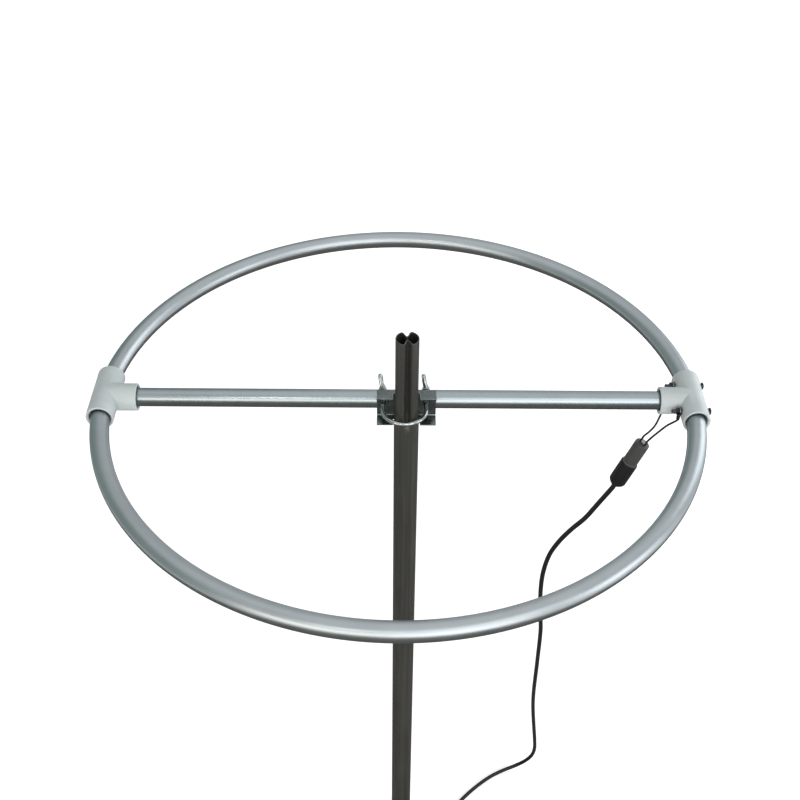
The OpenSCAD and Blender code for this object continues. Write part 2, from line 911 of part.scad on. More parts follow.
mast();
boom();
ring_front();
ring_rear();
tee_left();
tee_right();
saddle_bracket();
u_bolt();
clamp_washers();
wing_nut_left();
wing_nut_right();
terminal_bolts();
terminal_washers();
terminal_lugs();
terminal_nuts();
lead_front();
lead_rear();
lead_web();
balun_case();
balun_collar();
balun_core();
balun_winding();
balun_socket();
balun_insulator();
balun_contact();
coax_boot();
coax_shell();
coax_insulator();
coax_pin();
coax_cable();
cable_coil();
cable_tie();
tv_plug_grip();
tv_plug_shell();
tv_plug_insulator();
tv_plug_pin();
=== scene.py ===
"""Circular television aerial: mast, clamp, ring, terminals, transformer and lead."""

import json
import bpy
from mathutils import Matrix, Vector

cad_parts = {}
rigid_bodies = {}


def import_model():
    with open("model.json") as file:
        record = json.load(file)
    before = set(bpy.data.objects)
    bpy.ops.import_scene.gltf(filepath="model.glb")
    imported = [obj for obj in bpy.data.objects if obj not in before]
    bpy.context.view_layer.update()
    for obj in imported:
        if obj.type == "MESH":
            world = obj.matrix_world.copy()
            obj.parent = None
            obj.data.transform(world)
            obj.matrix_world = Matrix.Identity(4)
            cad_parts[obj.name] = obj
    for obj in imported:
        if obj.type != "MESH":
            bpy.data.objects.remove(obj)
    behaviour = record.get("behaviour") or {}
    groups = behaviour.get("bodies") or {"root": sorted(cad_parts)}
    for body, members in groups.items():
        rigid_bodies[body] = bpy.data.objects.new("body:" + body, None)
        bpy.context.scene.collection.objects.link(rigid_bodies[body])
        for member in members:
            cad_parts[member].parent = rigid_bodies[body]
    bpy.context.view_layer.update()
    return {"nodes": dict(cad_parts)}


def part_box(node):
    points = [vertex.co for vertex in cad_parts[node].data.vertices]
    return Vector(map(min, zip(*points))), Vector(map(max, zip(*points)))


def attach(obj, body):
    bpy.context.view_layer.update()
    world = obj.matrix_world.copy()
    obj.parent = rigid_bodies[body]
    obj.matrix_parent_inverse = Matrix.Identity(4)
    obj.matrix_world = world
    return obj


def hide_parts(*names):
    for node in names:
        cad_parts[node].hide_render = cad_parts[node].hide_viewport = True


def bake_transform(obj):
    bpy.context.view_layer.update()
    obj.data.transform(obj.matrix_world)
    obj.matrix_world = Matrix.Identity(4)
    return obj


bl_info = {
    "name": "Circular Television Aerial",
    "version": (1, 0, 0),
    "blender": (4, 5, 0),
    "location": "View3D > Sidebar > Aerial",
    "description": "Builds the aerial's pieces round its packed model",
    "category": "Object",
}

from math import asin, cos, exp, pi, radians, sin, tau

import bmesh
import bpy
from bpy.props import FloatProperty, FloatVectorProperty, IntProperty, PointerProperty
from bpy.types import NodeSocket, Operator, Panel, PropertyGroup, Scene
from mathutils import Matrix, Vector

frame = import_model()

MM = 0.001
RIGHT, BACK, UP = Vector((1, 0, 0)), Vector((0, 1, 0)), Vector((0, 0, 1))


def mm(*place):
    """Vector from millimetres."""
    return Vector(place) * MM


def box(node):
    """Middle of a CAD node's box, and the box's size in millimetres."""
    low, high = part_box(node)
    return (low + high) / 2, (high - low) / MM


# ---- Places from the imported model, and sizes in millimetres ----
HUB, BOOM = box("boom")
MAST = box("mast")[1]
TUBE_R = BOOM.z / 2
CLAMP = Vector((0, HUB.y, HUB.z))
RING_R = 300
LEG_X, LEG_AT, ARC_Y, LEG_END, THREAD_FROM = 22.25, -2, -17.35, 22.5, -3
RIDGE = 0.3
TEE_RUN, TEE_BRANCH, TEE_DEPTH, TEE_R, TEE_X = 33.5, 33, 21, 14, 298.93
TEE_STOP, SOCKET_R, STOP_R, SEAM = TEE_RUN - TEE_DEPTH, 11, 9, 0.12
BOLT_Y, BOLT_Z, BOLT_HOLE = 20, 3, 2.2
HEAD_X, LUG_X, NUT_X, TIP_X = 312.94, 284.12, 283.32, 275.12
BARREL_X, LUG_DROP = 283.32, 9.6
THIN_EDGE = 0.12

# Lead, coil and transformer, in metres
TILT = radians(20)
CASE_AXIS = Vector((sin(TILT), 0, cos(TILT)))
CASE_TOP = HUB + mm(257.43, -2, -57.01)
BOOT_END = CASE_TOP - 64.2 * MM * CASE_AXIS
COIL_CENTRE = mm(96, -20, 0)
COIL_IN, COIL_OUT, COIL_STEP = 23 * MM, 51 * MM, 7 * MM
COIL_LOW, COIL_RISE = 4.05 * MM, 6.2 * MM
TURN_STEPS = 24
TV_PLUG = mm(44.5, -138, 6.5)
ROUTE_STEP, SKIN_STEP, FLOOR_GAP = 15 * MM, 4.5 * MM, 0.05 * MM

# Points of the hanging and lying lead, in millimetres
FLOOR_POINTS = (
    (214, 25, 755), (202, 27, 729), (189, 31, 706), (177, 35, 680), (169, 40, 650),
    (166, 47, 605), (170, 58, 540), (177, 71, 480), (182, 91, 390), (187, 114, 290),
    (192, 129, 230), (199.5, 143, 165), (206, 154.5, 112), (209.5, 163, 75),
    (208, 169.5, 46), (199, 173.5, 23.5), (183, 173.5, 9), (164, 168.5, 3.4),
    (143, 157, 3), (121, 140, 3), (99, 119, 3), (78, 94, 3), (59, 63, 3), (48, 28, 3),
    (45, -5, 4.05), (45, -14.2, 4.05))

# Camera: aim, azimuth, tilt from straight down and roll in degrees, distance, focal length
AIM, ANGLES, DISTANCE, FOCAL = mm(-6.5, 22.3, 904), (-0.25, 49.83, 0.55), 1.2108, 53.37
# Lamps: name, place, width, height, power and colour
LAMPS = (
    ("Front Strip Left", (-1.15, -2.5, 1.42), 1.9, 1.35, 20.0, (1.0, 0.93, 0.82)),
    ("Front Strip Right", (0.85, -2.6, 1.45), 2.1, 1.55, 28.0, (1.0, 0.955, 0.94)),
    ("Upper Right Softbox", (0.95, -1.9, 2.75), 2.0, 1.4, 15.0, (0.96, 0.98, 1.0)),
    ("Top Softbox", (0.2, 0.2, 3.6), 3.0, 3.0, 8.0, (0.96, 0.98, 1.0)),
    ("Right Softbox", (2.5, -0.9, 1.35), 1.2, 1.5, 16.0, (0.96, 0.985, 1.0)),
    ("Rear Softbox", (2.1, 1.55, 1.45), 1.3, 2.0, 21.0, (0.95, 0.98, 1.0)),
    ("Glint Lamp", (-0.6, -1.9, 2.6), 0.14, 0.14, 4.0, (1.0, 0.99, 0.97)))
# Flags: name, corners and the colour that reflections show
FLAGS = (
    ("Floor Flag", ((-2.4, -7.5, -0.0003), (2.4, -7.5, -0.0003), (1.4, 1.6, -0.0003),
                    (-1.4, 1.6, -0.0003)), (0.24, 0.23, 0.21)),
    ("Left Flag", ((-2.9, -2.2, 0.0), (-2.6, 1.2, 0.0), (-2.6, 1.2, 3.2),
                   (-2.9, -2.2, 3.2)), (0.48, 0.56, 0.53)),
    ("Rear Flag", ((-2.6, 1.2, 0.0), (-0.4, 3.6, 0.0), (-0.4, 3.6, 3.2),
                   (-2.6, 1.2, 3.2)), (0.50, 0.59, 0.56)))
FLOOR_HALF, FLOOR_Z, FLOOR_PAINT = 9.0, -0.0005, (0.86, 0.86, 0.86, 1.0)
# Glow of the floor: from and to a distance, and its strength there
FLOOR_GLOW = (0.5, 3.0, 0.42, 0.9)
# World: strength as light, and to the eye and reflections
WORLD_LEVELS = (0.42, 1.0)
WHITE = (1.0, 1.0, 1.0, 1.0)


# ---- Settings ----
def length(name, description, default):
    """Size in metres, its default given in millimetres."""
    return FloatProperty(name=name, description=description, default=default * MM,
                         unit="LENGTH")


def tint(name, description, *default):
    """Base colour."""
    return FloatVectorProperty(name=name, description=description, subtype="COLOR", size=3,
                               default=default)


class AerialSizes(PropertyGroup):
    """Sizes that the pieces share, in metres."""

    tube_wall: length("Tube wall", "Wall of the ring and boom tubes", 1.2)
    tooth_edge: length("Sheet edge", "Width of the worn edge on cut sheet", 0.22)
    rod_radius: length("Rod radius", "Radius of the U-bolt's rod", 2.3)
    thread_pitch: length("Thread pitch", "Pitch of the U-bolt's thread", 0.8)
    bolt_radius: length("Terminal bolt radius", "Radius of the terminal bolts", 2.0)
    wire_diameter: length("Conductor", "Diameter of one insulated conductor", 2.2)
    lead_diameter: length("Coax lead", "Diameter of the coax lead", 5.5)
    coil_turns: IntProperty(
        name="Coil turns", description="Turns in each of the coil's two lower layers",
        default=4, min=3, max=4)


class AerialColours(PropertyGroup):
    """Base colours of the finishes."""

    ring: tint("Ring", "Satin aluminium of the ring", 0.315, 0.345, 0.36)
    boom: tint("Boom", "Bright drawn aluminium of the boom", 0.278, 0.318, 0.332)
    mast: tint("Mast", "Dark paint of the mast", 0.074, 0.075, 0.068)
    tee: tint("Tees", "Pale grey plastic of the tees", 0.50, 0.555, 0.555)
    case: tint("Transformer", "Dark grey plastic of its case", 0.048, 0.051, 0.048)
    rubber: tint("Black parts", "Black plastic of the lead and its plugs",
                 0.0075, 0.0075, 0.008)


# ---- Mesh helpers ----
def show(name, points, edges=(), faces=()):
    """Object of that name in the scene, with a mesh from points."""
    mesh = bpy.data.meshes.new(name)
    mesh.from_pydata([tuple(p) for p in points], edges, faces)
    return shown(name, mesh)


def shown(name, mesh):
    """Object of that name in the scene, for a mesh."""
    thing = bpy.data.objects.new(name, mesh)
    bpy.context.scene.collection.objects.link(thing)
    return thing


def clean(thing, crease):
    """Merges doubles, turns faces outwards and marks edges past the crease angle sharp."""
    work = bmesh.new()
    work.from_mesh(thing.data)
    bmesh.ops.remove_doubles(work, verts=work.verts, dist=1e-6)
    bmesh.ops.dissolve_degenerate(work, edges=work.edges, dist=1e-7)
    bmesh.ops.recalc_face_normals(work, faces=work.faces)
    for face in work.faces:
        face.smooth = True
    for edge in work.edges:
        edge.smooth = edge.calc_face_angle(0) < radians(crease)
    work.to_mesh(thing.data)
    work.free()
    return thing


def solid(name, points, faces, crease):
    """Closed mesh object, smooth up to the crease angle."""
    return clean(show(name, points, faces=faces), crease)


def applied(thing):
    """Turns a piece with modifiers into a plain mesh."""
    bpy.context.view_layer.update()
    seen = bpy.context.evaluated_depsgraph_get()
    old, thing.data = thing.data, bpy.data.meshes.new_from_object(thing.evaluated_get(seen))
    thing.modifiers.clear()
    bpy.data.meshes.remove(old)
    return thing


def place(thing, matrix):
    """Puts a matrix into a piece's mesh, so its object stays at the origin."""
    thing.data.transform(matrix)
    if matrix.determinant() < 0:
        thing.data.flip_normals()
    return thing


def lifted(height):
    """Matrix of a move along Z, in millimetres."""
    return Matrix.Translation((0, 0, height * MM))


def turned(origin, *ways):
    """Matrix with an origin and three axes."""
    return Matrix.Translation(origin) @ Matrix(ways).transposed().to_4x4()


def axes(origin, along, side=None):
    """Matrix whose Z runs along a direction from an origin."""
    z = Vector(along).normalized()
    x = Vector(side) if side is not None else BACK if abs(z.y) < 0.9 else RIGHT
    x = (x - x.dot(z) * z).normalized()
    return turned(origin, x, z.cross(x), z)


def revolve(name, outline, sides, matrix=None, crease=35.0):
    """Turns a closed outline of (radius, height) in millimetres about Z. Points at radius 0
    close into one pole."""
    points, rows = [], []
    for radius, height in outline:
        count = sides if radius > 0 else 1
        rows.append([len(points) + k % count for k in range(sides)])
        for k in range(count):
            a = tau * k / sides
            points.append((radius * MM * cos(a), radius * MM * sin(a), height * MM))
    faces = []
    for low, high in zip(rows, rows[1:] + rows[:1]):
        for k in range(sides):
            j = (k + 1) % sides
            face = list(dict.fromkeys((low[k], low[j], high[j], high[k])))
            if len(face) > 2:
                faces.append(face)
    thing = solid(name, points, faces, crease)
    return place(thing, matrix) if matrix else thing


def oblong(x0, x1, y0, y1):
    """Corners of a rectangle."""
    return [(x0, y0), (x1, y0), (x1, y1), (x0, y1)]


def rounded(outline, reach, steps=4):
    """Closed outline with its corners rounded, by one reach or one for each point."""
    corners = [complex(*p) for p in outline]
    if not isinstance(reach, list):
        reach = [reach] * len(corners)
    result = []
    for i, (here, r) in enumerate(zip(corners, reach)):
        before, after = corners[i - 1] - here, corners[(i + 1) % len(corners)] - here
        r = min(r, abs(before) * 0.45, abs(after) * 0.45)
        start, end = here + before / abs(before) * r, here + after / abs(after) * r
        for t in [k / steps for k in range(steps + 1)] if r else [0]:
            p = (1 - t) ** 2 * start + 2 * t * (1 - t) * here + t * t * end
            result.append((p.real, p.imag))
    return result


def extruded(name, outline, depth):
    """Prism over a closed outline in XY, in millimetres, centred on z = 0."""
    n = len(outline)
    points = [(x * MM, y * MM, z * MM) for z in (-depth / 2, depth / 2) for x, y in outline]
    faces = [list(range(n))[::-1], list(range(n, 2 * n))]
    faces += [[k, (k + 1) % n, n + (k + 1) % n, n + k] for k in range(n)]
    return solid(name, points, faces, 30.0)


def joined(name, things):
    """Puts several pieces' meshes into one object."""
    work = bmesh.new()
    for thing in things:
        work.from_mesh(thing.data)
        drop(thing)
    mesh = bpy.data.meshes.new(name)
    work.to_mesh(mesh)
    work.free()
    return shown(name, mesh)


def drop(thing):
    """Removes a helper object and its mesh."""
    mesh = thing.data
    bpy.data.objects.remove(thing)
    bpy.data.meshes.remove(mesh)


def combine(thing, operation, *others):
    """Adds, cuts or intersects one closed piece after another, and drops each."""
    for other in others:
        step = thing.modifiers.new("shape", "BOOLEAN")
        step.operation, step.solver, step.object = operation, "EXACT", other
        applied(thing)
        drop(other)
    return thing


def bored(thing, centre, along, radius, sides, reach=30):
    """Cuts a round hole through a piece, a reach to either side of its centre."""
    hole = revolve("hole", [(0, -reach), (radius, -reach), (radius, reach), (0, reach)],
                   sides, axes(centre, along))
    return combine(thing, "DIFFERENCE", hole)


def softened(thing, width, segments=2):
    """Rounds a piece's sharp edges by a small width."""
    step = thing.modifiers.new("edges", "BEVEL")
    step.width, step.segments = width * MM, segments
    step.limit_method, step.angle_limit = "ANGLE", radians(35.0)
    return clean(applied(thing), 50.0)


def copied(name, node, edge):
    """Copy of a CAD node's mesh, merged, with its edges rounded."""
    mesh = frame["nodes"][node].data.copy()
    mesh.name = name
    work = bmesh.new()
    work.from_mesh(mesh)
    bmesh.ops.remove_doubles(work, verts=work.verts, dist=2e-6)
    bmesh.ops.dissolve_limit(work, angle_limit=radians(0.6), verts=work.verts,
                             edges=work.edges)
    bmesh.ops.recalc_face_normals(work, faces=work.faces)
    work.to_mesh(mesh)
    work.free()
    return softened(shown(name, mesh), edge)


# ---- Node trees ----
class Nodes:
    """Adds nodes to a tree, one at a time."""

    def add(self, kind, links=None, **options):
        """New node with options set and its inputs set or linked."""
        node = self.tree.nodes.new(self.prefix + kind)
        for key, value in options.items():
            setattr(node, key, value)
        for key, value in (links or {}).items():
            if isinstance(value, NodeSocket):
                self.tree.links.new(value, node.inputs[key])
            else:
                node.inputs[key].default_value = value
        return node

    def out(self, kind, links=None, **options):
        """First output of such a node."""
        return self.add(kind, links, **options).outputs[0]


class Swept(Nodes):
    """A geometry node tree that sweeps a round section along a path, with named inputs."""

    prefix = "GeometryNode"

    def __init__(self, name, **inputs):
        self.tree = bpy.data.node_groups.new(name, "GeometryNodeTree")
        self.ids = {}
        for label, value in {"geometry": "Geometry", **inputs, "finish": "Material"}.items():
            kind = {int: "Int", float: "Float"}.get(type(value), value)
            socket = self.socket(label, kind, "INPUT")
            if kind != value:
                socket.default_value = value
            self.ids[label] = socket.identifier
        self.socket("geometry", "Geometry", "OUTPUT")
        self.start = self.tree.nodes.new("NodeGroupInput").outputs

    def socket(self, label, kind, way):
        """New input or output of the tree."""
        return self.tree.interface.new_socket(label.capitalize(), in_out=way,
                                              socket_type="NodeSocket" + kind)

    def value(self, label):
        """The tree's own input of that name."""
        return self.start[label.capitalize()]

    def close(self, path, radius, sides, caps):
        """Ends the tree: section swept, instances made real, material set."""
        section = self.out("CurvePrimitiveCircle",
                           {"Resolution": sides, "Radius": self.value(radius)}, mode="RADIUS")
        body = self.out("CurveToMesh", {"Curve": path, "Profile Curve": section,
                                        "Fill Caps": caps})
        real = self.out("RealizeInstances", {0: self.out("SetShadeSmooth", {0: body})})
        paint = self.out("SetMaterial", {0: real, "Material": self.value("finish")})
        self.tree.links.new(paint, self.tree.nodes.new("NodeGroupOutput").inputs[0])
        return self


def make_trees():
    """Rod along a mesh's edges, arc of the ring's tube, and a thread's ridge about Z."""
    rod = Swept("Swept Rod", radius=0.001, sides=16)
    rod.close(rod.out("MeshToCurve", {0: rod.start[0]}), "radius", rod.value("sides"), True)
    ring = Swept("Ring Tube", radius=0.3, tube=0.0095, start=0.0, sweep=pi)
    arc = ring.out("CurveArc", {"Resolution": 181, "Radius": ring.value("radius"),
                                "Start Angle": ring.value("start"),
                                "Sweep Angle": ring.value("sweep")}, mode="RADIUS")
    ring.close(arc, "tube", 48, False)
    screw = Swept("Screw Thread", radius=0.0025, turns=10.0, length=0.01, ridge=0.0003)
    spiral = screw.out("CurveSpiral", {"Resolution": 32, "Rotations": screw.value("turns"),
                                       "Start Radius": screw.value("radius"),
                                       "End Radius": screw.value("radius"),
                                       "Height": screw.value("length")})
    screw.close(spiral, "ridge", 6, True)
    return {"rod": rod, "ring": ring, "thread": screw}


def grown(name, kind, finish, points=((0, 0, 0),), **values):
    """Runs a tree over a line through points and keeps the result as a plain mesh."""
    thing = show(name, points, [(i, i + 1) for i in range(len(points) - 1)])
    tree = TREES[kind]
    step = thing.modifiers.new("build", "NODES")
    step.node_group = tree.tree
    for label, value in {**values, "finish": FINISHES[finish]}.items():
        step[tree.ids[label]] = value
    return applied(thing)


def threaded(at, radius, pitch, height, ridge, finish):
    """Ridge of a thread wound about Z from a place, in millimetres."""
    thread = grown("thread", "thread", finish, radius=radius * MM, turns=height / pitch,
                   length=height * MM, ridge=ridge * MM)
    return place(thread, at)


# ---- Finishes ----
class Shading(Nodes):
    """Shader nodes of a material or the world, built up from an empty tree."""

    prefix = "ShaderNode"

    def __init__(self, block):
        block.use_nodes = True
        self.block, self.tree = block, block.node_tree
        self.tree.nodes.clear()

    def maths(self, operation, a, b=0.0):
        """Result of one Math node."""
        return self.out("Math", {0: a, 1: b}, operation=operation)

    def between(self, value, low, high, out_low, out_high):
        """Value mapped from one range to another, and held in it."""
        return self.out("MapRange", {"Value": value, "From Min": low, "From Max": high,
                                     "To Min": out_low, "To Max": out_high})

    def seen_rays(self):
        """1 on camera, glossy and transmission rays, 0 on light's own rays."""
        path = self.add("LightPath").outputs
        seen = self.maths("MAXIMUM", path["Is Camera Ray"], path["Is Glossy Ray"])
        return self.maths("MAXIMUM", seen, path["Is Transmission Ray"])


class Finish(Shading):
    """A procedural material with one Principled shader."""

    def __init__(self, name, **sockets):
        super().__init__(bpy.data.materials.new(name))
        self.shader = self.add("BsdfPrincipled",
                               {key.replace("_", " "): v for key, v in sockets.items()})
        self.add("OutputMaterial", {0: self.shader.outputs[0]})
        self.place = self.add("TexCoord").outputs["Object"]

    def noise(self, scale, detail=3.0, roughness=0.5, place=None):
        """Noise from 0 to 1. Three scales stretch it, along each axis."""
        place = place or self.place
        if isinstance(scale, tuple):
            place, scale = self.out("Mapping", {"Vector": place, "Scale": scale}), 1.0
        return self.out("TexNoise", {"Vector": place, "Scale": scale, "Detail": detail,
                                     "Roughness": roughness})

    def edges(self, reach):
        """0 on flat faces and more at corners, where the finishes brighten the colour as wear
        and as a painted highlight.
        """
        soft = self.out("Bevel", {"Radius": reach}, samples=6)
        flat = self.add("NewGeometry").outputs["Normal"]
        same = self.add("VectorMath", {0: soft, 1: flat}, operation="DOT_PRODUCT")
        return self.maths("SUBTRACT", 1.0, same.outputs["Value"])

    def layered(self, colour, first, *layers):
        """The colour times a factor, under layers: a pattern, its low and high end, the
        layer's share, and its factor or own colour."""
        shade = tinted(colour, first)
        for pattern, low, high, share, tone in layers:
            over = tone if isinstance(tone, tuple) else tinted(colour, tone)
            shade = self.add("Mix", {0: self.between(pattern, low, high, 0.0, share),
                                     6: shade, 7: over}, data_type="RGBA").outputs[2]
        return shade

    def done(self, shade, rough, bump):
        """Links the colour, the roughness's range and the bump's height, depth, strength."""
        self.tree.links.new(shade, self.shader.inputs["Base Color"])
        self.tree.links.new(self.between(*rough), self.shader.inputs["Roughness"])
        normal = self.out("Bump", dict(zip(("Height", "Distance", "Strength"), bump)))
        self.tree.links.new(normal, self.shader.inputs["Normal"])
        return self.block


def tinted(colour, factor):
    """A colour made lighter or darker, opaque."""
    return (*(min(1.0, c * factor) for c in colour[:3]), 1.0)


def along_ring(finish):
    """Coordinates that follow the ring's tube: round its section and along its arc."""
    local = finish.out("VectorMath", {0: finish.place, 1: tuple(HUB)}, operation="SUBTRACT")
    x, y, z = finish.add("SeparateXYZ", {0: local}).outputs
    flat = finish.out("CombineXYZ", {"X": x, "Y": y})
    reach = finish.add("VectorMath", {0: flat}, operation="LENGTH").outputs["Value"]
    out = finish.maths("SUBTRACT", reach, box("tee_right")[0].x - HUB.x)
    arc = finish.maths("MULTIPLY", finish.maths("ARCTAN2", y, x), RING_R * MM)
    return finish.out("CombineXYZ", {"X": arc, "Y": out, "Z": z})


def drawn_metal(name, colour, rough, follow=None):
    """Drawn aluminium tube: lines along its length, dull patches and fine scratches."""
    finish = Finish(name, Metallic=1.0, Specular_Tint=(0.50, 0.53, 0.56, 1.0))
    along = follow(finish) if follow else finish.place
    lines = finish.noise((22.0, 2600.0, 2600.0), 5.0, 0.65, along)
    patches = finish.noise(34.0, 4.0, 0.6, along)
    spots = finish.noise(900.0, 2.0, 0.6, along)
    shade = finish.layered(colour, 0.96, (patches, 0.35, 0.7, 1.0, 1.03),
                           (lines, 0.55, 0.8, 0.25, 0.8), (spots, 0.68, 0.76, 0.3, 0.65))
    both = finish.maths("ADD", lines, patches)
    return finish.done(shade, (both, 0.6, 1.4, rough - 0.03, rough + 0.05),
                       (lines, 0.00002, 0.3))


def zinc_plate(name, colour, rough):
    """Zinc-coated steel: spangled patches, dull film and brighter edges, partly wear and
    partly a painted highlight.
    """
    finish = Finish(name, Metallic=1.0, Specular_Tint=(0.55, 0.56, 0.57, 1.0))
    cells = finish.add("TexVoronoi", {"Vector": finish.place, "Scale": 260.0})
    tone = finish.out("SeparateXYZ", {0: cells.outputs["Color"]})
    film = finish.noise(120.0, 5.0, 0.6)
    # The last layer brightens edges fivefold: partly wear, partly a painted highlight.
    shade = finish.layered(colour, 0.86, (tone, 0.0, 1.0, 1.0, 1.08),
                           (film, 0.52, 0.75, 0.7, 0.6),
                           (finish.edges(0.0007), 0.01, 0.12, 0.9, 5.0))
    both = finish.maths("ADD", tone, film)
    return finish.done(shade, (both, 0.4, 1.5, rough - 0.08, rough + 0.14),
                       (finish.noise(1500.0), 0.00002, 0.5))


def bright_metal(name, colour, rough, wear_and_glint=None):
    """Small turned or plated part with fine tool marks, its corners brightened where asked:
    partly wear, partly a painted highlight of glints.
    """
    finish = Finish(name, Metallic=1.0)
    marks = finish.noise((700.0, 700.0, 3500.0))
    dull = finish.noise(400.0, 4.0)
    layers = [(dull, 0.4, 0.7, 1.0, 0.72)]
    if wear_and_glint:
        # Corners brightened: partly wear, partly a painted highlight that stands in for
        # glints.
        layers.append((finish.edges(0.0003), 0.03, 0.2, 1.0, wear_and_glint))
    return finish.done(finish.layered(colour, 1.0, *layers),
                       (dull, 0.3, 0.7, rough - 0.05, rough + 0.12), (marks, 0.00001, 0.4))


def moulded(name, colour, rough, grain, depth, gloss=0.5):
    """Moulded plastic: fine spark-eroded grain, faint flow marks and dust in the pores."""
    finish = Finish(name, Specular_IOR_Level=gloss)
    flow = finish.noise((40.0, 40.0, 90.0), 4.0)
    pores = finish.noise(grain, 3.0, 0.6)
    shade = finish.layered(colour, 0.94, (flow, 0.35, 0.7, 1.0, 1.05),
                           (pores, 0.60, 0.8, 0.5, 0.78))
    return finish.done(shade, (pores, 0.3, 0.7, rough - 0.05, rough + 0.1),
                       (pores, depth, 0.7))


def painted_mast(name, colour):
    """Dark satin coat on steel tube: soft shading, faint streaks and a worn lip."""
    finish = Finish(name, Metallic=0.6, Specular_IOR_Level=0.5,
                    Specular_Tint=(0.7, 0.7, 0.68, 1.0))
    streaks = finish.noise((260.0, 260.0, 6.0), 5.0, 0.6)
    clouds = finish.noise((30.0, 30.0, 12.0), 4.0, 0.55)
    specks = finish.noise(1300.0, 3.0, 0.6)
    edge = finish.add("NewGeometry").outputs["Pointiness"]
    shade = finish.layered(colour, 0.78, (streaks, 0.35, 0.7, 1.0, 1.3),
                           (clouds, 0.5, 0.75, 0.4, 1.3),
                           (specks, 0.70, 0.78, 0.35, (0.11, 0.09, 0.07, 1.0)),
                           (edge, 0.56, 0.68, 0.8, (0.26, 0.26, 0.24, 1.0)))
    return finish.done(shade, (clouds, 0.3, 0.7, 0.30, 0.42), (streaks, 0.00001, 0.4))


def make_finishes(colours):
    """Every finish, by the slot that it fills."""
    rubber, case = colours.rubber, colours.case
    coarse, medium, fine = 0.00003, 0.00002, 0.00001
    plastics = (
        ("tee_plastic", "Tee Plastic", colours.tee, 0.42, 1400.0, coarse),
        ("case_plastic", "Transformer Plastic", case, 0.46, 1800.0, coarse, 0.35),
        ("boot_rubber", "Plug Rubber", rubber, 0.5, 1600.0, medium, 0.22),
        ("coax_jacket", "Lead Jacket", rubber, 0.4, 800.0, fine, 0.28),
        ("lead_black", "Twin Lead Black", tinted(rubber, 1.3), 0.38, 900.0, fine, 0.3),
        ("lead_web", "Twin Lead Web", (0.62, 0.61, 0.55), 0.4, 900.0, fine),
        ("tie_strap", "Tie Nylon", (0.045, 0.045, 0.05), 0.4, 1500.0, medium),
        ("insulator_plastic", "Insulator Plastic", (0.80, 0.79, 0.74), 0.35, 1500.0, fine),
        ("ferrite", "Ferrite", (0.035, 0.035, 0.038), 0.6, 2200.0, 2 * coarse, 0.3),
        ("collar_plastic", "Collar Plastic", tinted(case, 1.5), 0.3, 900.0, fine))
    metals = (
        ("bright_zinc", "Bright Zinc", (0.34, 0.37, 0.365), 0.15),
        # Terminal steel: near black, its corners brightened sevenfold as wear and as painted
        # glints.
        ("terminal_steel", "Terminal Steel", (0.026, 0.027, 0.028), 0.09, 7.0),
        ("tinned_brass", "Tinned Brass", (0.22, 0.215, 0.20), 0.18),
        ("plug_metal", "Plug Metal", (0.68, 0.69, 0.70), 0.25),
        ("contact_brass", "Contact Brass", (0.75, 0.55, 0.25), 0.28),
        ("copper_wire", "Enamelled Copper", (0.55, 0.20, 0.07), 0.25))
    return {
        "ring_aluminium": drawn_metal("Ring Aluminium", colours.ring, 0.34, along_ring),
        "boom_aluminium": drawn_metal("Boom Aluminium", colours.boom, 0.27),
        "mast_steel": painted_mast("Mast Paint", colours.mast),
        "galvanised_steel": zinc_plate("Galvanised Sheet", (0.125, 0.142, 0.142), 0.27),
        **{slot: moulded(*rest) for slot, *rest in plastics},
        **{slot: bright_metal(*rest) for slot, *rest in metals},
    }


# main fills these before the operators run
FINISHES, TREES = {}, {}


def painted(thing, slot):
    """Gives every face of a piece the finish of its slot."""
    thing.data.materials.clear()
    thing.data.materials.append(FINISHES[slot])
    for face in thing.data.polygons:
        face.material_index = 0


def finish_piece(thing, slot, node, body="antenna"):
    """Gives a piece the finish of its slot and the body it rides on, and hides the node it
    stands for.
    """
    painted(thing, slot)
    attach(thing, body)
    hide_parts(node)
    return thing


# ---- Stage ----
def add_camera(scene):
    """Camera at the photo's place."""
    matrix = Matrix.Translation(AIM)
    for angle, axis in zip(ANGLES, "ZXZ"):
        matrix @= Matrix.Rotation(radians(angle), 4, axis)
    lens = bpy.data.cameras.new("Camera")
    lens.lens, lens.sensor_width, lens.sensor_fit = FOCAL, 36.0, "HORIZONTAL"
    lens.clip_start, lens.clip_end = 0.02, 60.0
    scene.camera = shown("Camera", lens)
    scene.camera.matrix_world = matrix @ Matrix.Translation((0, 0, DISTANCE))


def stage_card(name, corners):
    """One face of the stage, and the shader nodes of its material."""
    card = show(name, corners, faces=[(0, 1, 2, 3)])
    shading = Shading(bpy.data.materials.new(name))
    card.data.materials.append(shading.block)
    return card, shading


def add_floor():
    """Plain pale floor that glows towards its edge, and so reads as a backdrop too."""
    outline = oblong(-FLOOR_HALF, FLOOR_HALF, -FLOOR_HALF, FLOOR_HALF)
    floor, shading = stage_card("Floor", [(x, y, FLOOR_Z) for x, y in outline])
    paint = shading.out("BsdfDiffuse", {"Color": FLOOR_PAINT})
    reach = shading.add("VectorMath", {0: shading.add("TexCoord").outputs["Object"]},
                        operation="LENGTH").outputs["Value"]
    far = shading.between(reach, *FLOOR_GLOW)
    level = shading.maths("MULTIPLY", shading.seen_rays(), far)
    glow = shading.out("Emission", {"Color": WHITE, "Strength": level})
    shading.add("OutputMaterial", {0: shading.out("AddShader", {0: paint, 1: glow})})


def add_flag(name, corners, colour):
    """Dark flag seen in reflections alone, as studios use to shade bright metal."""
    card, shading = stage_card(name, corners)
    shading.add("OutputMaterial", {0: shading.out("Emission", {"Color": (*colour, 1.0)})})
    for ray in ("camera", "diffuse", "transmission", "volume_scatter", "shadow"):
        setattr(card, "visible_" + ray, False)


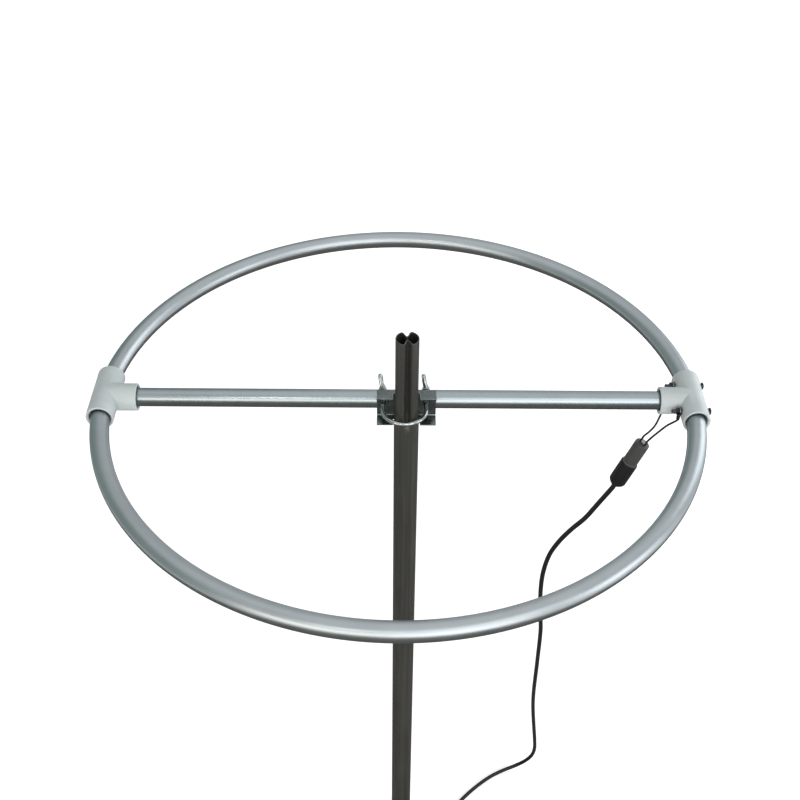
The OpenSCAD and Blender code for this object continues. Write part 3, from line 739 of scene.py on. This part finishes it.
def add_world(scene):
    """White to the eye and to reflections, softer as light on the object."""
    scene.world = bpy.data.worlds.new("Studio")
    shading = Shading(scene.world)
    level = shading.between(shading.seen_rays(), 0.0, 1.0, *WORLD_LEVELS)
    sky = shading.out("Background", {"Color": WHITE, "Strength": level})
    shading.add("OutputWorld", {0: sky})


def add_lamp(name, at, wide, high, power, colour):
    """Rectangular area lamp aimed at the point that the camera aims at."""
    light = bpy.data.lights.new(name, "AREA")
    light.shape, light.size, light.size_y = "RECTANGLE", wide, high
    light.energy, light.color = power, colour
    lamp = shown(name, light)
    lamp.location = at
    lamp.rotation_euler = (AIM - Vector(at)).to_track_quat("-Z", "Y").to_euler()


class AERIAL_OT_stage(Operator):
    """Camera, floor, world, soft lamps and dark flags"""

    bl_idname = "aerial.stage"
    bl_label = "Stage"

    def execute(self, context):
        add_camera(context.scene)
        add_floor()
        add_world(context.scene)
        for lamp in LAMPS:
            add_lamp(*lamp)
        for flag in FLAGS:
            add_flag(*flag)
        context.scene.view_settings.view_transform = "Standard"
        return {"FINISHED"}


# ---- Lead ----
def rounded_route(points, step):
    """Catmull-Rom curve through points, with a point about every step."""
    ends = 2 * points[0] - points[1], 2 * points[-1] - points[-2]
    line = [ends[0], *points, ends[1]]
    route = []
    for before, here, there, after in zip(line, line[1:], line[2:], line[3:]):
        count = max(1, round((there - here).length / step))
        for j in range(count):
            t = j / count
            route.append(0.5 * (2 * here + (there - before) * t
                                + (2 * before - 5 * here + 4 * there - after) * t * t
                                + (3 * here - before - 3 * there + after) * t ** 3))
    return route + points[-1:]


def smooth(t):
    """Ease in and out from 0 to 1."""
    return t * t * (3 - 2 * t)


def coil_point(turn, radius, height):
    """Point on the coil after some turns."""
    a = pi + tau * turn
    return COIL_CENTRE + Vector((radius * cos(a), radius * sin(a), height))


def coil_route(turns, lead_d):
    """Coil in four layers, wound in, out, in and out again, and its tail to the plug."""
    layers = ((turns, COIL_OUT, -COIL_STEP), (turns, COIL_IN, COIL_STEP),
              (turns - 0.5, COIL_OUT, -COIL_STEP),
              (turns - 1, COIL_IN + COIL_STEP / 2, COIL_STEP))
    half_turn = TURN_STEPS // 2
    route, begun = [], 0.0
    for n, (count, start, growth) in enumerate(layers):
        steps = int(TURN_STEPS * count)
        for i in range(steps + (half_turn if n < 3 else 1)):
            radius = start + growth * min(i, steps) / TURN_STEPS
            height = COIL_LOW + n * COIL_RISE
            if i > steps:
                height += COIL_RISE * smooth((i - steps) / half_turn)
            route.append(coil_point(begun + i / TURN_STEPS, radius, height))
        begun += count + 0.5
    end = route[-1]
    tail = [end + mm(*v) for v in ((0, 0, 0), (0, -14, 0), (0, -30, 0), (-1, -50, -4),
                                   (-2, -72, -11))]
    for x, y, z in ((-3, -94, 7.3), (-4, -110, 6.5), (-4, -118, 6.5)):
        tail.append(Vector((end.x + x * MM, end.y + y * MM, z * MM)))
    return [route[0] + Vector((0, lead_d, 0))] + route + rounded_route(tail, 12 * MM)[1:]


def length_of(route):
    """Length of a route."""
    return sum((b - a).length for a, b in zip(route, route[1:]))


def coil_tie():
    """Strap round all the turns at one place."""
    turn = radians(60)
    across = Vector((cos(turn), sin(turn), 0))
    centre = COIL_CENTRE + Vector((0, 0, COIL_LOW + 1.5 * COIL_RISE))
    middle = centre + (COIL_IN + COIL_OUT) / 2 * across
    wide, high, thick, depth = 17.05, 12.35, 1.0, 8.0
    strap, hole = (extruded(name, rounded(oblong(-x, x, -y, y), reach, 8), deep)
                   for name, x, y, reach, deep in (
                       ("cable_tie_strap", wide + thick, high + thick, 3.0, depth),
                       ("tie_hole", wide, high, 2.2, 2 * depth)))
    softened(combine(strap, "DIFFERENCE", hole), 0.25)
    place(strap, turned(middle, across, UP, across.cross(UP)))
    return finish_piece(strap, "tie_strap", "cable_tie", "mast")


def plug_pieces(prefix, grip, at, body, radius, length, taper, reach, tip):
    """Grip, shell, insulator and pin of a coaxial plug, from the cable's entry up."""
    neck, floor, shell_r, wall, pin_r = 3.95, 12, 4.75, 0.55, 1.2
    outline = [(0, 0), (neck - 0.5, 0), (neck, 0.5)]
    for k in range(2, 13):
        outline.append((neck + (radius - neck) * (1 - (1 - k / 12) ** 1.5), taper * k / 12))
    outline += rounded([(radius, length - 2), (radius, length), (shell_r, length)],
                       [0, 0.9, 0], 6)[1:]
    outline += [(shell_r, floor), (0, floor)]
    shell = rounded(oblong(shell_r - wall, shell_r, floor, reach), 0.2, 3)
    disc = rounded(oblong(pin_r, shell_r - wall, floor, floor + 12), 0.2, 3)
    pin = [(0, floor), (pin_r, floor), (pin_r, tip - 1.2), (pin_r - 0.2, tip - 0.5),
           (pin_r - 0.6, tip - 0.1), (0, tip)]
    return [finish_piece(revolve(prefix + name, shape, sides, at), slot, prefix + node, body)
            for name, shape, sides, slot, node in (
                ("_moulded_grip", outline, 64, "boot_rubber", grip),
                ("_metal_shell", shell, 64, "plug_metal", "_shell"),
                ("_insulating_disc", disc, 48, "insulator_plastic", "_insulator"),
                ("_centre_pin", pin, 32, "contact_brass", "_pin"))]


class AERIAL_OT_lead(Operator):
    """Coax lead from the transformer to the floor, its coil, tie and television plug"""

    bl_idname = "aerial.lead"
    bl_label = "Coax Lead"

    def execute(self, context):
        sizes = context.scene.aerial_sizes
        width = sizes.lead_diameter
        hanging = [BOOT_END, BOOT_END - width * CASE_AXIS]
        hanging += [mm(*p) for p in FLOOR_POINTS]
        coil = coil_route(sizes.coil_turns, width)
        route = rounded_route(hanging, ROUTE_STEP) + coil
        fine = rounded_route(hanging + coil[:1], SKIN_STEP)[:-1]
        fine += rounded_route(coil, SKIN_STEP)
        fine = [Vector((p.x, p.y, max(p.z, width / 2 + FLOOR_GAP))) for p in fine]
        lead = grown("coax_lead", "rod", "coax_jacket", fine, radius=width / 2, sides=14)
        painted(lead, "coax_jacket")
        clean(lead, 60.0)
        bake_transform(lead)
        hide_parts("coax_cable", "cable_coil")
        tie = coil_tie()
        plug = plug_pieces("tv_plug", "_grip", axes(TV_PLUG, -BACK, RIGHT), "mast", 6.5, 30,
                           8, 40, 40)
        length_of(route)
        return {"FINISHED"}


# ---- Mast ----
def crimp_section(t, count, radius, inset):
    """Outline of the crimped end, moved inwards: two lobes with a groove in front and
    behind."""
    waist, fit = 7, 1.1
    groove = radius - fit - waist / 2
    points = []
    for k in range(count):
        a = tau * k / count
        x = (radius - fit * t) * cos(a)
        g = x / (0.22 * radius)
        points.append(Vector((x, sin(a) * (radius - t * (fit + groove * exp(-g * g))))))
    ways = ((points[(k + 1) % count] - points[k - 1]).normalized() for k in range(count))
    return [p + inset * Vector((-e.y, e.x)) for p, e in zip(points, ways)]


class AERIAL_OT_mast(Operator):
    """Steel mast tube with its crimped upper end"""

    bl_idname = "aerial.mast"
    bl_label = "Mast"

    def execute(self, context):
        radius, top, wall, lip = MAST.x / 2, MAST.z, 1.0, 0.3
        crimp_at, run, count = 888, 26, 128
        crimped = crimp_at + run
        levels = [(0, 0, lip), (lip, 0, 0)]
        levels += [(crimp_at * k / 18, 0, 0) for k in range(1, 19)]
        levels += [(crimp_at + run * k / 24, smooth(k / 24), 0) for k in range(1, 25)]
        levels += [(crimped + (top - crimped) * k / 6, 1, 0) for k in range(1, 6)]
        levels += [(top - lip, 1, 0), (top, 1, lip)]
        skins = levels + [(z, t, wall - cut) for z, t, cut in reversed(levels)]
        points = [mm(p.x, p.y, z) for z, t, cut in skins
                  for p in crimp_section(t, count, radius, cut)]
        faces = []
        for i in range(0, len(points), count):
            above = (i + count) % len(points)
            for k in range(count):
                j = (k + 1) % count
                faces.append((i + k, i + j, above + j, above + k))
        mast = solid("mast_tube", points, faces, 35.0)
        place(mast, Matrix.Rotation(radians(5), 4, "Z"))
        finish_piece(mast, "mast_steel", "mast", "mast")
        return {"FINISHED"}


# ---- Ring and boom ----
def terminal(side, x, rise=0):
    """Place on a terminal bolt's line, at an X from the hub."""
    return HUB + mm(x, side * BOLT_Y, BOLT_Z + rise)


def leg(side, y):
    """Place on the axis of one of the U-bolt's legs."""
    return CLAMP + mm(LEG_AT + side * LEG_X, y, 0)


class AERIAL_OT_ring(Operator):
    """Two half rings of aluminium tube"""

    bl_idname = "aerial.ring"
    bl_label = "Ring"

    def execute(self, context):
        first = asin(TEE_STOP / RING_R)
        for name, node, side in (("ring_rear_half", "ring_rear", 1),
                                 ("ring_front_half", "ring_front", -1)):
            half = grown(name, "ring", "ring_aluminium", radius=RING_R * MM,
                         tube=TUBE_R * MM, start=first, sweep=pi - 2 * first)
            skin = half.modifiers.new("wall", "SOLIDIFY")
            skin.thickness, skin.offset = context.scene.aerial_sizes.tube_wall, -1.0
            skin.use_even_offset = True
            clean(applied(half), 50.0)
            place(half, Matrix.Diagonal((1, side, 1, 1)))
            bored(half, mm(RING_R, side * BOLT_Y, BOLT_Z), RIGHT, BOLT_HOLE, 32)
            clean(half, 50.0)
            place(half, Matrix.Translation(HUB))
            finish_piece(half, "ring_aluminium", node)
        return {"FINISHED"}


class AERIAL_OT_boom(Operator):
    """Aluminium boom with the holes of the U-bolt"""

    bl_idname = "aerial.boom"
    bl_label = "Boom"

    def execute(self, context):
        wall, reach = context.scene.aerial_sizes.tube_wall / MM, BOOM.x / 2
        boom = revolve("boom_tube", rounded(oblong(TUBE_R - wall, TUBE_R, -reach, reach),
                                            0.25, 3), 96, axes(HUB, RIGHT, BACK), 30.0)
        for side in (-1, 1):
            bored(boom, leg(side, 0), BACK, 2.6, 48)
        finish_piece(clean(boom, 30.0), "boom_aluminium", "boom")
        return {"FINISHED"}


# ---- Tees ----
def tee_arm(name, direction, reach, radius):
    """One arm's outside, about the tee's centre."""
    end = rounded([(radius, reach - 3), (radius, reach), (0, reach)], [0, 0.8, 0], 6)
    return revolve(name, [(0, 0), (radius, 0)] + end[1:-1] + [(0, reach)], 96,
                   axes((0, 0, 0), direction, UP), 30.0)


def tee_bore(direction, reach):
    """One arm's bore: its flared socket, and the narrower way past the stop."""
    stop = reach - TEE_DEPTH
    return revolve("bore", [
        (0, -0.5), (STOP_R, -0.5), (STOP_R, stop), (SOCKET_R, stop), (SOCKET_R, reach - 1),
        (SOCKET_R + 1, reach), (SOCKET_R + 2, reach + 1), (0, reach + 1)], 96,
        axes((0, 0, 0), direction, UP), 30.0)


def tee(name, drilled):
    """Tee with its run along Y, its branch towards -X and a fine mould line."""
    arms = ((BACK, TEE_RUN), (-BACK, TEE_RUN), (-RIGHT, TEE_BRANCH))
    body, *others = (tee_arm(name, way, reach, TEE_R) for way, reach in arms)
    combine(body, "UNION", *others)
    seam, *others = (tee_arm("seam", way, reach - 1, TEE_R + SEAM) for way, reach in arms)
    combine(seam, "UNION", *others)
    combine(seam, "INTERSECT", extruded("slab", oblong(-60, 30, -50, 50), 0.35))
    combine(body, "UNION", seam)
    combine(body, "DIFFERENCE", *(tee_bore(way, reach) for way, reach in arms))
    for side in (-1, 1) if drilled else ():
        bored(body, mm(0, side * BOLT_Y, BOLT_Z), RIGHT, BOLT_HOLE, 32)
    body.name = name
    return body


class AERIAL_OT_tees(Operator):
    """Two moulded tees that hold the half rings and the boom"""

    bl_idname = "aerial.tees"
    bl_label = "Tees"

    def execute(self, context):
        for end, side in (("left", -1), ("right", 1)):
            piece = place(tee("tee_body_" + end, side > 0), Matrix.Diagonal((side, 1, 1, 1)))
            place(piece, Matrix.Translation(HUB + mm(side * TEE_X, 0, 0)))
            finish_piece(clean(piece, 28.0), "tee_plastic", "tee_" + end)
        return {"FINISHED"}


# ---- Clamp ----
class AERIAL_OT_saddle(Operator):
    """Toothed saddle bracket of bent galvanised sheet"""

    bl_idname = "aerial.saddle"
    bl_label = "Saddle Bracket"

    def execute(self, context):
        saddle = copied("saddle_sheet", "saddle_bracket",
                        context.scene.aerial_sizes.tooth_edge / MM)
        finish_piece(saddle, "galvanised_steel", "saddle_bracket")
        return {"FINISHED"}


class AERIAL_OT_u_bolt(Operator):
    """U-bolt bent from round rod, with threaded legs"""

    bl_idname = "aerial.u_bolt"
    bl_label = "U-Bolt"

    def execute(self, context):
        sizes = context.scene.aerial_sizes
        radius, pitch = sizes.rod_radius / MM, sizes.thread_pitch / MM
        ridge = RIDGE * pitch
        core, reach = radius - ridge, LEG_END - THREAD_FROM
        bend = [mm(-LEG_X, THREAD_FROM, 0), mm(-LEG_X, ARC_Y / 2, 0)]
        for k in range(49):
            a = pi + pi * k / 48
            bend.append(mm(LEG_X * cos(a), ARC_Y + LEG_X * sin(a), 0))
        bend += [mm(LEG_X, ARC_Y / 2, 0), mm(LEG_X, THREAD_FROM, 0)]
        rod = grown("u_bolt_bend", "rod", "bright_zinc", bend, radius=sizes.rod_radius,
                    sides=48)
        parts = [place(rod, Matrix.Translation(leg(0, 0)))]
        for side in (-1, 1):
            at = axes(leg(side, THREAD_FROM), BACK, RIGHT)
            parts.append(revolve("leg", [(0, -1), (core, -1), (core, reach - 0.8),
                                         (core - 0.6, reach), (0, reach)], 48, at))
            parts.append(threaded(at, core, pitch, reach - 0.9, ridge, "bright_zinc"))
        finish_piece(joined("u_bolt_rod", parts), "bright_zinc", "u_bolt", "u_bolt")
        return {"FINISHED"}


def wing_nut(name, rod_r):
    """Wing nut along +Y from the origin, its wings in the XY plane."""
    half, high, lobe = 15, 14.5, 4.5
    side = [(4.6, 0.8), (half - 1.2, 6)]
    for k in range(17):
        a = pi * k / 16
        side.append((half - lobe * (1 - cos(a)), high - lobe * (1 - sin(a))))
    side.append((3.4, 6.1))
    outline = side + [(-x, y) for x, y in reversed(side)]
    wings = softened(extruded("wings", outline[::-1], 4), 1.3, 4)
    at = axes((0, 0, 0), BACK, RIGHT)
    nut = revolve(name, rounded([(0, 0), (5, 0), (3.9, 6.5), (0, 6.5)], [0, 0.5, 0.8, 0]), 64,
                  at)
    bore_r = rod_r + 0.05
    bore = revolve("bore", [(0, -1), (bore_r + 1.4, -1), (bore_r, 0.4), (bore_r, 6.2),
                            (bore_r + 1.4, 7.6), (0, 7.6)], 48, at)
    combine(nut, "UNION", wings)
    return clean(combine(nut, "DIFFERENCE", bore), 32.0)


class AERIAL_OT_wing_nuts(Operator):
    """Two wing nuts, their wings leaning a little to one side"""

    bl_idname = "aerial.wing_nuts"
    bl_label = "Wing Nuts"

    def execute(self, context):
        lean = Matrix.Rotation(radians(78), 4, "Y")
        for name, side in (("wing_nut_left", -1), ("wing_nut_right", 1)):
            nut = wing_nut(name + "_cast", context.scene.aerial_sizes.rod_radius / MM)
            place(nut, Matrix.Translation(leg(side, 11)) @ lean)
            finish_piece(nut, "bright_zinc", name, name)
        return {"FINISHED"}


class AERIAL_OT_washers(Operator):
    """Washers under the wing nuts and behind the terminal lugs"""

    bl_idname = "aerial.washers"
    bl_label = "Washers"

    def execute(self, context):
        for kind, slot, inner, outer, thick, spot, x, way in (
                ("clamp", "bright_zinc", 2.6, 5.9, 1.2, leg, TUBE_R, BACK),
                ("terminal", "terminal_steel", 2.2, 4.4, 0.8, terminal, LUG_X, RIGHT)):
            outline = rounded(oblong(inner, outer, 0, thick), 0.2, 3)
            pair = [revolve("washer", outline, 64, axes(spot(side, x), way))
                    for side in (-1, 1)]
            finish_piece(joined(kind + "_washer_pair", pair), slot, kind + "_washers")
        return {"FINISHED"}


# ---- Terminals ----
def slotted_bolt(radius, reach, along):
    """Slotted screw from its tip at z = 0 to under its head, threaded below."""
    pitch, thread = 0.7, 15
    ridge = RIDGE * pitch
    core, head_r, head_h = radius - ridge, 3.8, 2.6
    shank = revolve("shank", [
        (0, 0), (core - 0.5, 0), (core, 0.6), (core, thread), (radius, thread + 0.4),
        (radius, reach + 0.5), (0, reach + 0.5)], 40, along)
    crown = [(head_r * cos(a), head_h * (0.35 + 0.65 * sin(a)))
             for a in (radians(7.5 * k) for k in range(12))]
    head = revolve("head", [(0, 0), (head_r, 0)] + crown + [(0, head_h)], 48)
    slot = place(extruded("slot", oblong(-5, 5, -0.45, 0.45), 2.4), lifted(head_h))
    combine(head, "DIFFERENCE", slot)
    place(head, along @ lifted(reach) @ Matrix.Rotation(0.5, 4, "Z"))
    return [shank, head, threaded(along @ lifted(0.6), core, pitch, thread - 0.8, ridge,
                                  "terminal_steel")]


def hexagon_nut(radius, along):
    """Hexagon nut with chamfered corners."""
    corner, high = 2.02 * radius, 3.2
    angles = [tau * k / 6 for k in range(6)]
    nut = extruded("nut", [(corner * cos(a), corner * sin(a)) for a in angles], high)
    place(nut, lifted(high / 2))
    small, large = corner * 0.86, corner * 1.02
    cone = revolve("cone", [(0, -0.01), (small, -0.01), (large, 0.6), (large, high - 0.6),
                            (small, high + 0.01), (0, high + 0.01)], 64)
    combine(nut, "INTERSECT", cone)
    bored(nut, mm(0, 0, high / 2), UP, radius + 0.01, 40, high / 2 + 1)
    return place(clean(nut, 25.0), along)


class AERIAL_OT_terminals(Operator):
    """Terminal bolts through the right tee, with their nuts and lugs"""

    bl_idname = "aerial.terminals"
    bl_label = "Terminals"

    def execute(self, context):
        radius = context.scene.aerial_sizes.bolt_radius / MM
        bolts, nuts = [], []
        for side in (-1, 1):
            bolts += slotted_bolt(radius, HEAD_X - TIP_X,
                                  axes(terminal(side, TIP_X), RIGHT, UP))
            nuts.append(hexagon_nut(radius, axes(terminal(side, NUT_X - 3.2), RIGHT, UP)))
        finish_piece(joined("terminal_bolt_pair", bolts), "terminal_steel", "terminal_bolts")
        finish_piece(joined("terminal_nut_pair", nuts), "terminal_steel", "terminal_nuts")
        lugs = copied("terminal_lug_pair", "terminal_lugs", THIN_EDGE)
        finish_piece(lugs, "tinned_brass", "terminal_lugs")
        return {"FINISHED"}


# ---- Twin lead ----
def lug_sleeve(side, inner):
    """Shrink sleeve over a lug's barrel and the first of its wire."""
    barrel = 1.6
    sleeve = revolve("sleeve", [
        (barrel, -5.4), (barrel + 0.05, -5.1), (barrel + 0.3, -5.1), (barrel + 0.35, -5.4),
        (barrel + 0.3, -9.6), (inner + 0.45, -10.6), (inner + 0.4, -11.4),
        (inner + 0.02, -11.5), (inner + 0.02, -10.2), (barrel, -9.5)], 40)
    return place(sleeve, Matrix.Translation(terminal(side, BARREL_X)))


def wire_points(side, wire):
    """From a lug's barrel to the transformer's top."""
    start = terminal(side, BARREL_X, 4 - LUG_DROP)
    below = terminal(side, BARREL_X, -2 - LUG_DROP)
    turn = radians(30)
    across = Vector((-sin(turn) * cos(TILT), cos(turn), sin(turn) * sin(TILT)))
    top = CASE_TOP + side * 3.6 * MM * across
    split = top + 5 * MM * CASE_AXIS
    bends = (((0.33, (-0.5, 1.5, 0.8)), (0.66, (-1.3, 0.3, 0.8))) if side < 0 else
             ((0.44, (3.2, 1.8, -2.7)), (0.68, (4.4, 1.6, -3.4)), (0.84, (2.8, 1.2, -2.3))))
    return [start, below, *(below.lerp(split, share) + mm(*aside) for share, aside in bends),
            split + wire * CASE_AXIS, split, top + wire * CASE_AXIS, top]


class AERIAL_OT_twin_lead(Operator):
    """Two conductors from the lugs to the transformer, with the web between them"""

    bl_idname = "aerial.twin_lead"
    bl_label = "Twin Lead"

    def execute(self, context):
        wire = context.scene.aerial_sizes.wire_diameter
        for end, side in (("front", -1), ("rear", 1)):
            lead = grown("wire", "rod", "lead_black",
                         rounded_route(wire_points(side, wire), 1.0 * MM),
                         radius=wire / 2, sides=20)
            parts = [clean(lead, 60.0), lug_sleeve(side, wire / 2 / MM)]
            finish_piece(joined("twin_lead_" + end, parts), "lead_black", "lead_" + end)
        web = copied("twin_lead_web", "lead_web", THIN_EDGE)
        finish_piece(web, "lead_web", "lead_web")
        return {"FINISHED"}


# ---- Transformer ----
# Its turned pieces: name, slot, node, sides, outline in millimetres and rounding
TRANSFORMER = (
    ("transformer_case", "case_plastic", "balun_case", 96,
     [(5.5, -27.5), (8, -27.5), (8, 0), (0, 0), (0, -2.6), (6.4, -2.6), (6.4, -13.5),
      (5.5, -13.5)], [0, 0.3, 1.6, 0, 0, 0, 0, 0]),
    ("transformer_collar", "collar_plastic", "balun_collar", 96,
     oblong(5.5, 8.3, -29.7, -27.5), 0.35),
    ("coax_socket", "plug_metal", "balun_socket", 64, oblong(4.8, 5.5, -29.7, -13.5), 0.15),
    ("socket_insulator", "insulator_plastic", "balun_insulator", 64,
     oblong(2, 4.8, -17.5, -13.5), 0.15),
    ("socket_contact", "contact_brass", "balun_contact", 40,
     [(1.25, -26.5), (2, -26.5), (2, -13.5), (0, -13.5), (0, -14), (1.25, -14)],
     [0.2, 0.2, 0.2, 0, 0, 0]))
CORE_R, HOLE_R, WINDING_PITCH = 4.9, 0.98, 0.6


class AERIAL_OT_transformer(Operator):
    """Matching transformer: case, collar, ferrite core, winding and coaxial socket"""

    bl_idname = "aerial.transformer"
    bl_label = "Transformer"

    def execute(self, context):
        at = axes(CASE_TOP, CASE_AXIS, (cos(TILT), 0, -sin(TILT)))
        for name, slot, node, sides, outline, reach in TRANSFORMER:
            finish_piece(revolve(name, rounded(outline, reach), sides, at), slot, node)
        outline = rounded(oblong(0, CORE_R, -13.5, -5.5), [0, 0.4, 0.4, 0])
        core = revolve("ferrite_core", outline, 64)
        for side in (-1, 1):
            bored(core, mm(0, side * CORE_R * 0.45, -9.5), UP, HOLE_R, 32, 5)
        finish_piece(place(clean(core, 35.0), at), "ferrite", "balun_core")
        layers = [threaded(at @ lifted(-9 - high / 2), radius, WINDING_PITCH, high, 0.27,
                           "copper_wire")
                  for radius, high in ((5.18, 8 * WINDING_PITCH), (5.64, 7 * WINDING_PITCH))]
        finish_piece(joined("copper_winding", layers), "copper_wire", "balun_winding")
        plug_pieces("coax", "_boot", axes(BOOT_END, CASE_AXIS, BACK), "antenna", 9.4, 34.5, 7,
                    46.4, 47.4)
        return {"FINISHED"}


# ---- Panel and registration ----
OPERATORS = (
    AERIAL_OT_stage, AERIAL_OT_lead, AERIAL_OT_mast, AERIAL_OT_ring, AERIAL_OT_boom,
    AERIAL_OT_tees, AERIAL_OT_saddle, AERIAL_OT_u_bolt, AERIAL_OT_wing_nuts,
    AERIAL_OT_washers, AERIAL_OT_terminals, AERIAL_OT_twin_lead, AERIAL_OT_transformer)


class AERIAL_PT_panel(Panel):
    """Lists the aerial's sizes, colours and pieces"""

    bl_label = "Circular Aerial"
    bl_idname = "AERIAL_PT_panel"
    bl_space_type = "VIEW_3D"
    bl_region_type = "UI"
    bl_category = "Aerial"

    def draw(self, context):
        for group in (context.scene.aerial_sizes, context.scene.aerial_colours):
            column = self.layout.column()
            for name in group.__annotations__:
                column.prop(group, name)
        for operator in OPERATORS:
            self.layout.operator(operator.bl_idname)


CLASSES = (AerialSizes, AerialColours) + OPERATORS + (AERIAL_PT_panel,)


def register():
    """Registers the classes and hangs the settings on the scene."""
    for kind in CLASSES:
        bpy.utils.register_class(kind)
    Scene.aerial_sizes = PointerProperty(type=AerialSizes)
    Scene.aerial_colours = PointerProperty(type=AerialColours)


def unregister():
    """Takes the settings and classes away again."""
    del Scene.aerial_sizes
    del Scene.aerial_colours
    for kind in reversed(CLASSES):
        bpy.utils.unregister_class(kind)


def main():
    """Registers the add-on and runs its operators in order."""
    register()
    FINISHES.update(make_finishes(bpy.context.scene.aerial_colours))
    TREES.update(make_trees())
    for operator in OPERATORS:
        group, call = operator.bl_idname.split(".")
        getattr(getattr(bpy.ops, group), call)()


if __name__ == "__main__":
    main()
